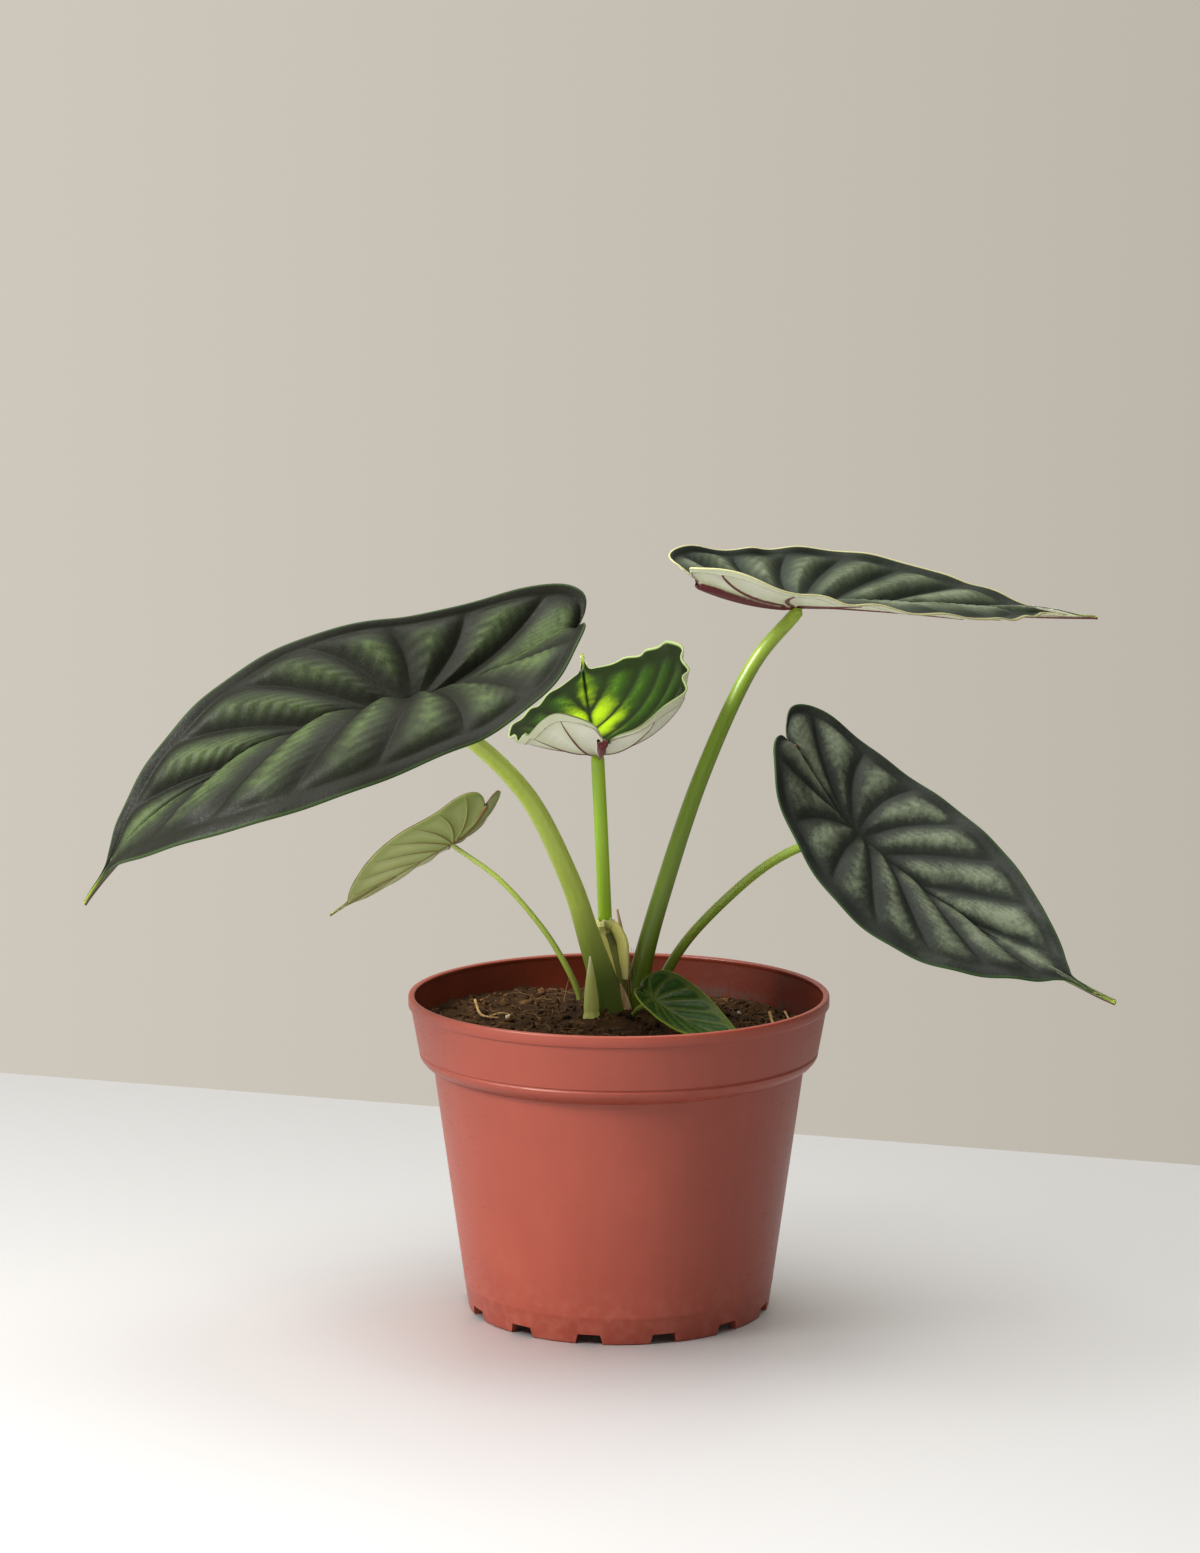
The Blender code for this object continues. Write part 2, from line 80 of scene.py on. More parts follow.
# The collar's lower edge, from its groove down, as steps out and up from its radius and height.
COLLAR_EDGE = [
    (0.0001, 0.0011), (-0.0004, 0.0007), (-0.0004, 0.0003), (-0.0001, -0.0001), (-0.0003, -0.0011),
    (-0.0008, -0.0020), (-0.0020, -0.0034), (-0.0034, -0.0042),
]
WALL_TOP_Z = 0.088
WALL_TOP_RADIUS = 0.0662
LIP_DEPTH = 0.0042
LIP_STEP = 0.0009
LIP_ROUND = 0.0007
FLOOR_Z = 0.0039
FOOT_WIDTH = 0.0022
POT_STEPS = 168
NOTCH_COUNT = 13
NOTCH_WIDTH = 0.010
NOTCH_HEIGHT = 0.0036
FIRST_NOTCH = math.radians(-73.5)
DRAIN_COUNT = 8
DRAIN_RADIUS = 0.0019
DRAIN_CIRCLE = 0.036

# Soil
SOIL_LEVEL = 0.1008
CROWN = (0.0005, 0.0155)
MOUND_HEIGHT = 0.0045
MOUND_SPREAD = 0.016
SOIL_EDGE = 0.0716
SOIL_CELLS = 170
CRUMB_COUNT = 1500
LARGE_CRUMB_EVERY = 25
FIBRE_COUNT = 230
# Bits of perlite: place on the soil's plan, and size.
PERLITE = [
    (-0.0395, 0.0030, 0.0011), (0.0250, -0.0310, 0.0007), (-0.0150, -0.0420, 0.0006), (0.044, 0.028, 0.0008),
]

# Half outline of a blade whose length is 1: along the midrib from the petiole, and out from it. Its
# last point lies at each leaf's own tail.
OUTLINE = [
    (-0.40, 0.0), (-0.47, 0.05), (-0.50, 0.13), (-0.46, 0.23), (-0.34, 0.32), (-0.15, 0.375),
    (0.05, 0.41), (0.28, 0.415), (0.52, 0.36), (0.73, 0.255), (0.88, 0.145), (0.96, 0.06),
    (1.01, 0.02), (None, 0.0012),
]
OUTLINE_LENGTH = 2.05  # about the length of that half outline
BEND_STEPS = 160
# Primary veins: where each one ends, as a share of the half outline, and where it leaves the midrib.
VEIN_ENDS = [0.0, 0.13, 0.275, 0.415, 0.54, 0.655, 0.765, 0.87, 1.0]
VEIN_FEET = [None, -0.05, -0.02, 0.0, 0.03, 0.13, 0.31, 0.55, None]
VEIN_SHIFT = 0.05  # how far forward the veins of the right half leave the midrib, against the left
VEIN_BOW = 0.045  # how far a vein bends back from a straight line, before it sweeps forward
COLLECTOR = 0.90  # where the vein that runs round inside the margin lies
CROWDING = 0.10  # how much the rows of the mesh crowd together at the veins

# Per leaf: place, size, directions and bends. A pair is for its left and right half, but nod's second
# number is the bend's growth. Then its looks, lengths in mm:
#   mesh: rows in each panel between veins, and columns; puff: height of the pillows; soft: how far
#   from a vein they reach full height; pleats: their height and spacing; flutter: wave of the margin;
#   rib: depth of the midrib below; curl: rise of each half's margin; frill: its short waves
LEAVES = {
    "large_left": dict(
        at=(-0.0696, -0.044, 0.224), length=0.123, tail=1.12, width=(1.0, 0.66), lobes=(1.08, 1.19),
        turn=207, tilt=-4.6, roll=-28.4, nod=(-54, 0), rise=34,
        fold=(49, 23), fold_growth=(-2, -28), cup=(-64, 2), twist=-14, sweep=-1.6,
        mesh=(30, 132), puff=3.2, soft=5.2, pleats=(0.36, 4.6), flutter=1.0, rib=2.6,
    ),
    "young_centre": dict(
        at=(-0.0077, 0.010, 0.1996), length=0.081, tail=1.18, width=(0.91, 1.43), lobes=(1.26, 1.02),
        turn=94, tilt=4.8, roll=-3.2, nod=(17, 0), rise=37,
        fold=(3, 5), fold_growth=(-7, -3), cup=(19, 49), twist=-14, sweep=-1.4,
        mesh=(25, 116), puff=1.5, soft=4.0, pleats=(0.22, 3.4), flutter=1.0, rib=1.6,
        curl=(0.4, 1.2), frill=0.9,
    ),
    "high_right": dict(
        at=(0.0640, 0.026, 0.2504), length=0.101, tail=1.22, width=(0.79, 0.80), lobes=(1.01, 1.02),
        turn=27, tilt=-4.3, roll=1, nod=(-4, 5), rise=23,
        fold=(19, 1), fold_growth=(3, -5), cup=(35, 13), twist=4, sweep=-8,
        mesh=(27, 116), puff=3.4, soft=4.4, pleats=(0.32, 3.6), flutter=1.3, rib=2.3, frill=0.5,
    ),
    "hanging_right": dict(
        at=(0.0823, -0.032, 0.1763), length=0.090, tail=1.18, width=(0.84, 0.93), lobes=(1.09, 0.99),
        turn=-14, tilt=-43, roll=20, nod=(20, 0), rise=22,
        fold=(28, 19), fold_growth=(16, 5), cup=(1, -51), twist=16, sweep=3.3,
        mesh=(27, 116), puff=2.4, soft=3.8, pleats=(0.16, 3.4), flutter=1.5, rib=2.0,
    ),
    "small_left": dict(
        at=(-0.0615, 0.0473, 0.1604), length=0.0494, tail=1.18, width=(0.88, 0.97), lobes=(0.97, 1.04),
        turn=155.4, tilt=-31, roll=9.3, nod=(-2, 0), rise=40,
        fold=(21, -3), fold_growth=(-7, -3), cup=(15, 43), twist=1, sweep=5,
        mesh=(16, 64), puff=0.5, soft=2.6, pleats=(0.08, 2.4), flutter=0.2, rib=1.1,
    ),
    "low_front": dict(
        at=(0.0127, -0.0148, 0.1137), length=0.0356, tail=1.18, width=(0.93, 0.85), lobes=(0.47, 0.42),
        turn=-20, tilt=-35, roll=16.5, nod=(37, 0), rise=20,
        fold=(15, 11), fold_growth=(-7, -17), cup=(36, 17), twist=-8, sweep=-5,
        mesh=(16, 64), puff=0.45, soft=2.2, pleats=(0.07, 2.0), flutter=0.2, rib=0.9,
    ),
}
BLADE_WEB = 0.0006  # thickness between the ribs
BLADE_EDGE = 0.0004

# Petioles: the route from the foot up, and the radius at the foot and at the top.
PETIOLES = {
    "large_left": dict(
        route=[(-0.0030, 0.0110, 0.1000), (-0.0052, 0.0105, 0.1140), (-0.0103, 0.0080, 0.1308),
               (-0.0174, 0.0020, 0.1537), (-0.0313, -0.0090, 0.1841), (-0.0499, -0.0260, 0.2065)],
        foot=0.0043, top=0.0026, clasp=1.45,
    ),
    "young_centre": dict(
        route=[(-0.0036, 0.0206, 0.1000), (-0.0040, 0.0195, 0.1200), (-0.0050, 0.0165, 0.1400),
               (-0.0065, 0.0120, 0.1750)],
        foot=0.0026, top=0.0024, clasp=1.05,
    ),
    "high_right": dict(
        route=[(0.0050, 0.0166, 0.1000), (0.0075, 0.0160, 0.1160), (0.0149, 0.0160, 0.1440),
               (0.0292, 0.0190, 0.1872), (0.0471, 0.0225, 0.2265)],
        foot=0.0036, top=0.0024, clasp=1.3,
    ),
    "hanging_right": dict(
        route=[(0.0138, 0.0260, 0.0950), (0.0141, 0.0258, 0.1040), (0.0182, 0.0236, 0.1175),
               (0.0293, 0.0150, 0.1350), (0.0501, 0.0000, 0.1576), (0.0672, -0.0150, 0.1697)],
        foot=0.0019, top=0.0016, clasp=1.1,
    ),
    "small_left": dict(
        route=[(-0.0140, 0.0430, 0.0960), (-0.0146, 0.0430, 0.1040), (-0.0200, 0.0432, 0.1160),
               (-0.0288, 0.0440, 0.1297), (-0.0435, 0.0450, 0.1463)],
        foot=0.0012, top=0.0009, clasp=1.0,
    ),
    "low_front": dict(
        route=[(0.0050, 0.0030, 0.0960), (0.0051, 0.0026, 0.1035), (0.0072, -0.0030, 0.1082)],
        foot=0.0010, top=0.0009, clasp=1.0,
    ),
}
PETIOLE_REACH = 0.0009  # how far below a blade's upper face its petiole ends


# Small tools ----------


def tone(red, green, blue):
    """A colour given from 0 to 255 as it looks on a screen, in the linear values that shaders take."""
    linear = [c / 255 / 12.92 if c < 10.4 else ((c / 255 + 0.055) / 1.055) ** 2.4 for c in (red, green, blue)]
    return (*linear, 1.0)


def smooth_curve(points, count):
    """Evenly spaced points on a smooth curve through the given ones, as an array."""
    points = np.array(points, float)
    ends = np.vstack([2 * points[0] - points[1], points, 2 * points[-1] - points[-2]])
    fine = [points[0]]
    for a, b, c, d in zip(ends, ends[1:], ends[2:], ends[3:]):
        for t in np.arange(1, CURVE_STEPS + 1) / CURVE_STEPS:
            bending = (2 * a - 5 * b + 4 * c - d) + t * (3 * (b - c) + d - a)
            fine.append(b + 0.5 * t * ((c - a) + t * bending))
    fine = np.array(fine)
    travelled = np.r_[0, np.cumsum(np.linalg.norm(np.diff(fine, axis=0), axis=1))]
    spots = np.linspace(0, travelled[-1], count)
    return np.stack([np.interp(spots, travelled, column) for column in fine.T], axis=-1)


def link(obj):
    bpy.context.scene.collection.objects.link(obj)
    return obj


def object_from(bm, name, materials, node=None, slot=None):
    """Makes the mesh an object of the plant or pot, standing for a CAD node where one is given."""
    mesh = bpy.data.meshes.new(name)
    bm.to_mesh(mesh)
    bm.free()
    mesh.shade_smooth()
    for material in materials:
        mesh.materials.append(material)
    obj = link(bpy.data.objects.new(name, mesh))
    if slot:
        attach(obj, "root")
    if node:
        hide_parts(node)
    return obj


def closed_object(bm, *rest, **standing):
    """Does what object_from does, after turning the faces outwards."""
    bmesh.ops.recalc_face_normals(bm, faces=bm.faces)
    object_from(bm, *rest, **standing)


def add_tube(bm, line, radii, sides, shape=None, layer=None):
    """Adds a closed round tube along a line of points. shape gives a factor at (angle, share), and
    layer keeps each point's share of the way along.
    """
    line = [Vector(point) for point in line]
    last = len(line) - 1
    made = bmesh.ops.create_grid(bm, x_segments=sides, y_segments=last + 2, size=1.0)["verts"]
    headings = [(line[min(i + 1, last)] - line[max(i - 1, 0)]).normalized() for i in range(last + 1)]
    across = headings[0].orthogonal().normalized()
    if abs(headings[0].z) > 0.5:  # a tube that starts steeply counts its angles from +Y
        across = Vector((0, 1, 0)) - headings[0] * headings[0].y
    frames = []
    for heading in headings:
        across = (across - heading * across.dot(heading)).normalized()
        frames.append((across.copy(), heading.cross(across)))
    for vert in made:
        angle = math.pi * (vert.co.x + 1)
        ring = round((vert.co.y + 1) / 2 * (last + 2)) - 1
        spot = min(max(ring, 0), last)
        share = spot / last
        radius = float(np.interp(share, np.linspace(0, 1, len(radii)), radii))
        if shape:
            radius *= shape(angle, share)
        if ring != spot:
            radius = 0.0
        u, v = frames[spot]
        vert.co = line[spot] + radius * (u * math.cos(angle) + v * math.sin(angle))
        if layer:
            vert[layer] = share
    bmesh.ops.remove_doubles(bm, verts=made, dist=MERGE / 4)


def flattened(amount):
    """The shape of a tube that is pressed flat by this share."""

    def shape(angle, _):
        return 1.0 - amount * abs(math.cos(angle))

    return shape


def tube_object(name, line, radii, sides, materials, shape=None, node=None, slot=None):
    bm = bmesh.new()
    layer = bm.verts.layers.float.new("along")
    add_tube(bm, line, radii, sides, shape, layer)
    closed_object(bm, name, materials, node, slot)


def put(tree, socket, value):
    """Links an output to an input socket, or gives the socket a value."""
    if isinstance(value, bpy.types.NodeSocket):
        tree.links.new(value, socket)
    else:
        socket.default_value = value


def add_node(tree, kind, output, inputs, **settings):
    """One output of a new shader node."""
    node = tree.nodes.new("ShaderNode" + kind)
    for setting, value in settings.items():
        setattr(node, setting, value)
    for socket, value in inputs.items():
        put(tree, node.inputs[socket], value)
    return node.outputs[output]


def add_ramp(tree, value, stops):
    """A colour ramp with a (position, colour) for each stop."""
    node = tree.nodes.new("ShaderNodeValToRGB")
    elements = node.color_ramp.elements
    elements[0].position, elements[0].color = stops[0]
    elements[1].position, elements[1].color = stops[-1]
    for position, colour in stops[1:-1]:
        elements.new(position).color = colour
    put(tree, node.inputs["Fac"], value)
    return node.outputs["Color"]


class Finish:
    """A procedural material, with short ways to wire its nodes."""

    def __init__(self, name, **settings):
        self.material = bpy.data.materials.new(name)
        self.material.use_nodes = True
        self.tree = self.material.node_tree
        self.shader = self.tree.nodes["Principled BSDF"]
        for socket, value in settings.items():
            self.set(socket, value)

    def set(self, socket, value):
        put(self.tree, self.shader.inputs[socket.replace("_", " ")], value)

    def attribute(self, name):
        return add_node(self.tree, "Attribute", "Fac", {}, attribute_name=name)

    def place(self, stretch=(1, 1, 1)):
        """Object coordinates, stretched."""
        coordinates = add_node(self.tree, "TexCoord", "Object", {})
        return add_node(self.tree, "Mapping", "Vector", {"Vector": coordinates, "Scale": stretch})

    def noise(self, scale, detail=3.0, rough=0.55, stretch=(1, 1, 1)):
        inputs = {"Vector": self.place(stretch), "Scale": scale, "Detail": detail, "Roughness": rough}
        return add_node(self.tree, "TexNoise", "Fac", inputs)

    def height(self):
        """The Z of Object coordinates."""
        return add_node(self.tree, "SeparateXYZ", "Z", {"Vector": self.place()})

    def sum(self, *terms):
        """Adds up (value, factor) pairs."""
        total = 0.0
        for value, factor in terms:
            inputs = {0: value, 1: factor, 2: total}
            total = add_node(self.tree, "Math", 0, inputs, operation="MULTIPLY_ADD")
        return total

    def span(self, value, low, high, to_low=0.0, to_high=1.0):
        """Takes a value's span from low to high to another span, smoothly."""
        inputs = {"Value": value, "From Min": low, "From Max": high, "To Min": to_low, "To Max": to_high}
        return add_node(self.tree, "MapRange", "Result", inputs, interpolation_type="SMOOTHSTEP")

    def times(self, first, second):
        return add_node(self.tree, "Math", 0, {0: first, 1: second}, operation="MULTIPLY")

    def ramp(self, value, stops):
        return add_ramp(self.tree, value, stops)

    def blend(self, share, first, second):
        return add_node(self.tree, "Mix", 2, {"Factor": share, 6: first, 7: second}, data_type="RGBA")

    def bump(self, value, depth, strength):
        inputs = {"Height": value, "Distance": depth, "Strength": strength}
        self.set("Normal", add_node(self.tree, "Bump", "Normal", inputs))


# Finishes ----------


def blade_face(
    name, tones, roughness=0.46, mottle=0.5, sharp=(0.25, 0.75), tip=tone(140, 160, 62), painted_backlight=None, shine=0.13
):
    """Upper face of a blade: dark veins, pillows that get lighter in patches to their crests, and a rim."""
    vein, hollow, panel, crest, rim = (tone(*levels) for levels in tones)
    finish = Finish(name, Specular_IOR_Level=shine)
    patches = finish.noise(48, 3, 0.55)
    clouds = finish.noise(150, 4, 0.6)
    grain = finish.noise(900, 3, 0.65)
    level = finish.sum(
        (finish.attribute("swell"), 0.9), (finish.attribute("pleat"), 0.16), (patches, 1.5 * mottle),
        (clouds, mottle), (grain, 0.7 * mottle), (1.0, -1.6 * mottle),
    )
    colour = finish.ramp(level, [(0.05, vein), (0.38, hollow), (0.70, panel), (1.0, crest)])
    # A given backlight colour is painted light that shines through the thin blade around its midrib.
    if painted_backlight:
        bright = finish.sum((finish.attribute("painted_backlight"), 1.0), (clouds, 0.5), (1.0, -0.25))
        colour = finish.blend(finish.span(bright, 0.15, 0.75), colour, painted_backlight)
    lines = finish.sum((finish.attribute("rib"), 1.0), (grain, 0.35), (1.0, -0.17))
    colour = finish.blend(finish.span(lines, *sharp), colour, vein)
    edge = finish.span(finish.attribute("edge"), 0.975, 0.995)
    colour = finish.blend(edge, colour, rim)
    finish.set("Base_Color", finish.blend(finish.span(finish.attribute("along"), 0.955, 0.995), colour, tip))
    finish.set("Roughness", finish.span(grain, 0.3, 0.7, roughness - 0.05, roughness + 0.10))
    relief = finish.sum((finish.noise(1600, 2), 0.6), (finish.noise(420, 3), 1.0))
    finish.bump(relief, 0.00025, 0.6)
    return finish.material


def blade_back(name, web, pale, vein, lines=(0.25, 0.7)):
    """Underside of a blade: a pale matt web between raised veins."""
    finish = Finish(name, Specular_IOR_Level=0.35, Roughness=0.5)
    clouds = finish.noise(120, 4)
    level = finish.sum((finish.attribute("swell"), 0.55), (clouds, 0.5), (finish.attribute("pleat"), 0.12))
    colour = finish.ramp(level, [(0.2, web), (0.9, pale)])
    ribs = finish.sum((finish.attribute("rib"), 1.0), (finish.noise(700), 0.25), (1.0, -0.12))
    finish.set("Base_Color", finish.blend(finish.span(ribs, *lines), colour, vein))
    finish.bump(finish.sum((finish.noise(1300, 2), 0.5), (finish.noise(300, 3), 1.0)), 0.0002, 0.5)
    return finish.material


def petiole_skin(name, foot, middle, top):
    """Fleshy green stem with faint streaks along it and fine dark specks."""
    finish = Finish(name, Specular_IOR_Level=0.5, Roughness=0.33)
    # Darker at the foot: partly the stem's own colour and partly painted shade low in the crown.
    colour = finish.ramp(
        finish.attribute("along"), [(0.0, foot), (0.10, foot), (0.30, middle), (0.75, middle), (1.0, top)]
    )
    streaks = finish.noise(500, 3, 0.6, stretch=(1, 1, 0.06))
    colour = finish.blend(finish.span(streaks, 0.35, 0.75, 0.0, 0.11), colour, tone(84, 104, 36))
    specks = finish.span(finish.noise(1500, 2, 0.5), 0.66, 0.72, 0.0, 0.12)
    finish.set("Base_Color", finish.blend(specks, colour, tone(44, 60, 26)))
    finish.bump(streaks, 0.0002, 0.5)
    return finish.material


def sheath_skin(name, body, tip):
    finish = Finish(name, Specular_IOR_Level=0.4, Roughness=0.45)
    streaks = finish.noise(800, 3, 0.6, stretch=(1, 1, 0.08))
    stops = [(0.0, tone(150, 150, 84)), (0.15, body), (0.7, body), (1.0, tip)]
    colour = finish.ramp(finish.attribute("along"), stops)
    streaked = finish.span(streaks, 0.4, 0.8, 0.0, 0.15)
    finish.set("Base_Color", finish.blend(streaked, colour, tone(180, 184, 110)))
    finish.bump(streaks, 0.0003, 0.7)
    return finish.material


def dry_skin(name, light, dark):
    finish = Finish(name, Roughness=0.85, Specular_IOR_Level=0.2)
    streaks = finish.noise(600, 4, 0.65, stretch=(1, 1, 0.2))
    finish.set("Base_Color", finish.ramp(streaks, [(0.3, dark), (0.7, light)]))
    finish.bump(streaks, 0.0003, 0.8)
    return finish.material


def soil_finish(name):
    """Damp peat: brown crumbs, painted shade in the hollows, painted highlights on raised crumbs, pale
    fibres.
    """
    finish = Finish(name, Specular_IOR_Level=0.15, Roughness=0.92)
    crumbs = finish.noise(420, 6, 0.7)
    clumps = finish.noise(70, 3, 0.6)
    level = finish.sum((crumbs, 0.9), (clumps, 0.35), (finish.attribute("shade"), 0.45), (1.0, -0.32))
    # Partly the peat's own tones; the near-black stop paints shade in the hollows and the light stop paints
    # highlights on raised crumbs, as the bump follows the same noise.
    stops = [
        (0.12, tone(11, 6, 3)), (0.40, tone(52, 35, 20)), (0.62, tone(75, 52, 30)), (0.90, tone(141, 103, 65))
    ]
    finish.set("Base_Color", finish.ramp(level, stops))
    finish.bump(finish.sum((crumbs, 1.0), (finish.noise(1500, 3), 0.3)), 0.0016, 0.9)
    return finish.material


def corm_finish():
    finish = Finish("corm_bark", Roughness=0.8, Specular_IOR_Level=0.2)
    rings = finish.noise(300, 4, 0.6, stretch=(0.3, 0.3, 2.0))
    finish.set("Base_Color", finish.ramp(rings, [(0.3, tone(52, 38, 22)), (0.7, tone(104, 84, 48))]))
    finish.bump(rings, 0.0006, 0.8)
    return finish.material


def pot_outside():
    """Terracotta-coloured plastic, slightly uneven, with dust low down and fine scuffs."""
    finish = Finish("terracotta_outside", Specular_IOR_Level=0.45)
    clouds = finish.noise(26, 4, 0.55)
    flow = finish.noise(160, 3, 0.6, stretch=(1, 1, 0.12))
    shade = finish.sum((clouds, 0.7), (flow, 0.3))
    stops = [(0.25, tone(137, 59, 44)), (0.55, tone(146, 65, 49)), (0.8, tone(155, 73, 57))]
    colour = finish.ramp(shade, stops)
    low_down = finish.span(finish.height(), 0.0, 0.03, 0.22, 0.0)
    dust = finish.times(low_down, finish.span(finish.noise(240, 4), 0.4, 0.7))
    finish.set("Base_Color", finish.blend(dust, colour, tone(178, 116, 98)))
    scuffs = finish.span(finish.noise(700, 2, 0.5, stretch=(0.2, 0.2, 2.2)), 0.62, 0.70)
    finish.set("Roughness", finish.sum((scuffs, 0.18), (clouds, 0.12), (1.0, 0.34)))
    finish.bump(finish.sum((finish.noise(900, 2), 0.3), (flow, 0.7)), 0.00012, 0.5)
    return finish.material


def shaded_pot_inside():
    """The smoother inside, darker than the outside as painted shade, with soil dust left above the soil."""
    finish = Finish("terracotta_inside_painted_shade", Specular_IOR_Level=0.5)
    clouds = finish.noise(40, 4, 0.55)
    # These tones, darker than the same plastic outside, are painted shade inside the pot.
    colour = finish.ramp(clouds, [(0.3, tone(90, 29, 12)), (0.7, tone(107, 36, 16))])
    uneven_height = finish.sum((finish.height(), 1.0), (finish.noise(60, 5), 0.006))
    low_down = finish.span(uneven_height, 0.1035, 0.1075, 0.85, 0.0)
    dirt = finish.times(low_down, finish.span(finish.noise(380, 5, 0.7), 0.42, 0.62))
    finish.set("Base_Color", finish.blend(dirt, colour, tone(66, 44, 28)))
    finish.set("Roughness", finish.sum((dirt, 0.4), (clouds, 0.1), (1.0, 0.27)))
    finish.bump(finish.noise(300, 3), 0.0002, 0.4)
    return finish.material


# Pot ----------


def arc(centre_x, centre_z, radius, start, end, count):
    turns = np.radians(np.linspace(start, end, count))
    return [(centre_x + radius * math.cos(a), centre_z + radius * math.sin(a)) for a in turns]


def wall_radius(z):
    return FOOT_RADIUS + (WALL_TOP_RADIUS - FOOT_RADIUS) * z / WALL_TOP_Z


def pot_profile():
    """The pot's wall, from the middle of its floor up the inside, over the lip and down to the foot."""
    floor_top = FLOOR_Z + POT_WALL
    inside = [
        (0.0, floor_top),
        (0.020, floor_top),
        (wall_radius(floor_top) - POT_WALL - 0.0015, floor_top),
        (wall_radius(floor_top) - POT_WALL, floor_top + 0.0015),
        (WALL_TOP_RADIUS - POT_WALL, WALL_TOP_Z + 0.0004),
        (WALL_TOP_RADIUS + 0.0004, WALL_TOP_Z + 0.0013),
        (WALL_TOP_RADIUS + 0.0020, WALL_TOP_Z + 0.0019),
        (COLLAR_RADIUS - 0.0026, COLLAR_Z - 0.0018),
        (COLLAR_RADIUS - POT_WALL - 0.0002, COLLAR_Z - 0.0003),
        (COLLAR_RADIUS - POT_WALL + 0.0001, COLLAR_Z + 0.0012),
        (RIM_RADIUS - LIP_STEP - POT_WALL, POT_HEIGHT - 0.0022),
        (RIM_RADIUS - LIP_STEP - POT_WALL + 0.0001, POT_HEIGHT - 0.0012),
    ]
    lip = arc(RIM_RADIUS - 0.0017, POT_HEIGHT - LIP_ROUND, LIP_ROUND * 0.8, 165, 95, 5)
    lip += arc(RIM_RADIUS - LIP_ROUND, POT_HEIGHT - LIP_ROUND, LIP_ROUND, 85, 0, 6)
    outside = [
        (RIM_RADIUS, POT_HEIGHT - LIP_DEPTH + 0.0007),
        (RIM_RADIUS - 0.0003, POT_HEIGHT - LIP_DEPTH + 0.0002),
        (RIM_RADIUS - LIP_STEP, POT_HEIGHT - LIP_DEPTH),
        (RIM_RADIUS - LIP_STEP - 0.0001, POT_HEIGHT - LIP_DEPTH - 0.0006),
        *((COLLAR_RADIUS + out, COLLAR_Z + up) for out, up in COLLAR_EDGE),
        (WALL_TOP_RADIUS + 0.0008, WALL_TOP_Z + 0.0005),
        (WALL_TOP_RADIUS, WALL_TOP_Z),
        (wall_radius(WALL_TOP_Z - 0.001), WALL_TOP_Z - 0.001),
        (wall_radius(0.0106), 0.0106),
        (wall_radius(0.0100) + 0.00008, 0.0102),
        (wall_radius(0.0094) + 0.00008, 0.0095),
        (wall_radius(0.0090), 0.0091),
        (FOOT_RADIUS, 0.0007),
        (FOOT_RADIUS - 0.0002, 0.0002),
        (FOOT_RADIUS - 0.0005, 0.0),
        (FOOT_RADIUS - FOOT_WIDTH, 0.0),
        (FOOT_RADIUS - FOOT_WIDTH - 0.0004, FLOOR_Z),
        (0.0, FLOOR_Z),
    ]
    return inside + lip + outside


def foot_cutter():
    """A ring of splayed blocks for the foot's notches and of rods for the drain holes."""
    bm = bmesh.new()
    for i in range(NOTCH_COUNT):
        spot = Matrix.Rotation(FIRST_NOTCH + 2 * math.pi * i / NOTCH_COUNT, 4, "Z")
        spot @= Matrix.Translation((FOOT_RADIUS - 0.001, 0, 0))
        for vert in bmesh.ops.create_cube(bm, size=1.0)["verts"]:
            top = vert.co.z > 0
            splay = (0.72 if top else 1.0) * (1.0 if vert.co.x < 0 else 1.16)
            across = vert.co.y * NOTCH_WIDTH * splay
            vert.co = spot @ Vector((vert.co.x * 0.006, across, NOTCH_HEIGHT if top else -0.002))
    for i in range(DRAIN_COUNT):
        angle = 2 * math.pi * (i + 0.5) / DRAIN_COUNT
        spot = Matrix.Translation((DRAIN_CIRCLE * math.cos(angle), DRAIN_CIRCLE * math.sin(angle), FLOOR_Z))
        bmesh.ops.create_cone(
            bm, cap_ends=True, segments=20, radius1=DRAIN_RADIUS, radius2=DRAIN_RADIUS, depth=0.006,
            matrix=spot,
        )
    return object_from(bm, "foot_cutter", [])


def make_pot():
    bm = bmesh.new()
    verts = [bm.verts.new((r, 0, z)) for r, z in pot_profile()]
    edges = [bm.edges.new(pair) for pair in zip(verts, verts[1:])]
    bmesh.ops.spin(
        bm, geom=verts + edges, cent=(0, 0, 0), axis=(0, 0, 1), angle=2 * math.pi, steps=POT_STEPS,
        use_merge=True,
    )
    bmesh.ops.remove_doubles(bm, verts=bm.verts, dist=MERGE)
    bmesh.ops.recalc_face_normals(bm, faces=bm.faces)
    # Faces inside and on the floor take the inside finish, whose darker colour is painted shade.
    for face in bm.faces:
        centre = face.calc_center_median()
        inward = face.normal.x * centre.x + face.normal.y * centre.y < 0
        on_floor = centre.xy.length < WALL_TOP_RADIUS * 0.8
        if FLOOR_Z + POT_WALL / 2 < centre.z < POT_HEIGHT - 0.0014 and (inward or on_floor):
            face.material_index = 1
    raw = object_from(bm, "pot_raw", [pot_outside(), shaded_pot_inside()])
    cutter = foot_cutter()
    boolean = raw.modifiers.new("foot", "BOOLEAN")
    boolean.operation = "DIFFERENCE"
    boolean.object = cutter
    bpy.context.view_layer.update()
    mesh = bpy.data.meshes.new_from_object(raw.evaluated_get(bpy.context.evaluated_depsgraph_get()))
    bpy.data.objects.remove(raw, do_unlink=True)
    bpy.data.objects.remove(cutter, do_unlink=True)
    mesh.set_sharp_from_angle(angle=math.radians(38))
    pot = link(bpy.data.objects.new("nursery_pot", mesh))
    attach(pot, "root")
    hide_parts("pot")


# Soil ----------


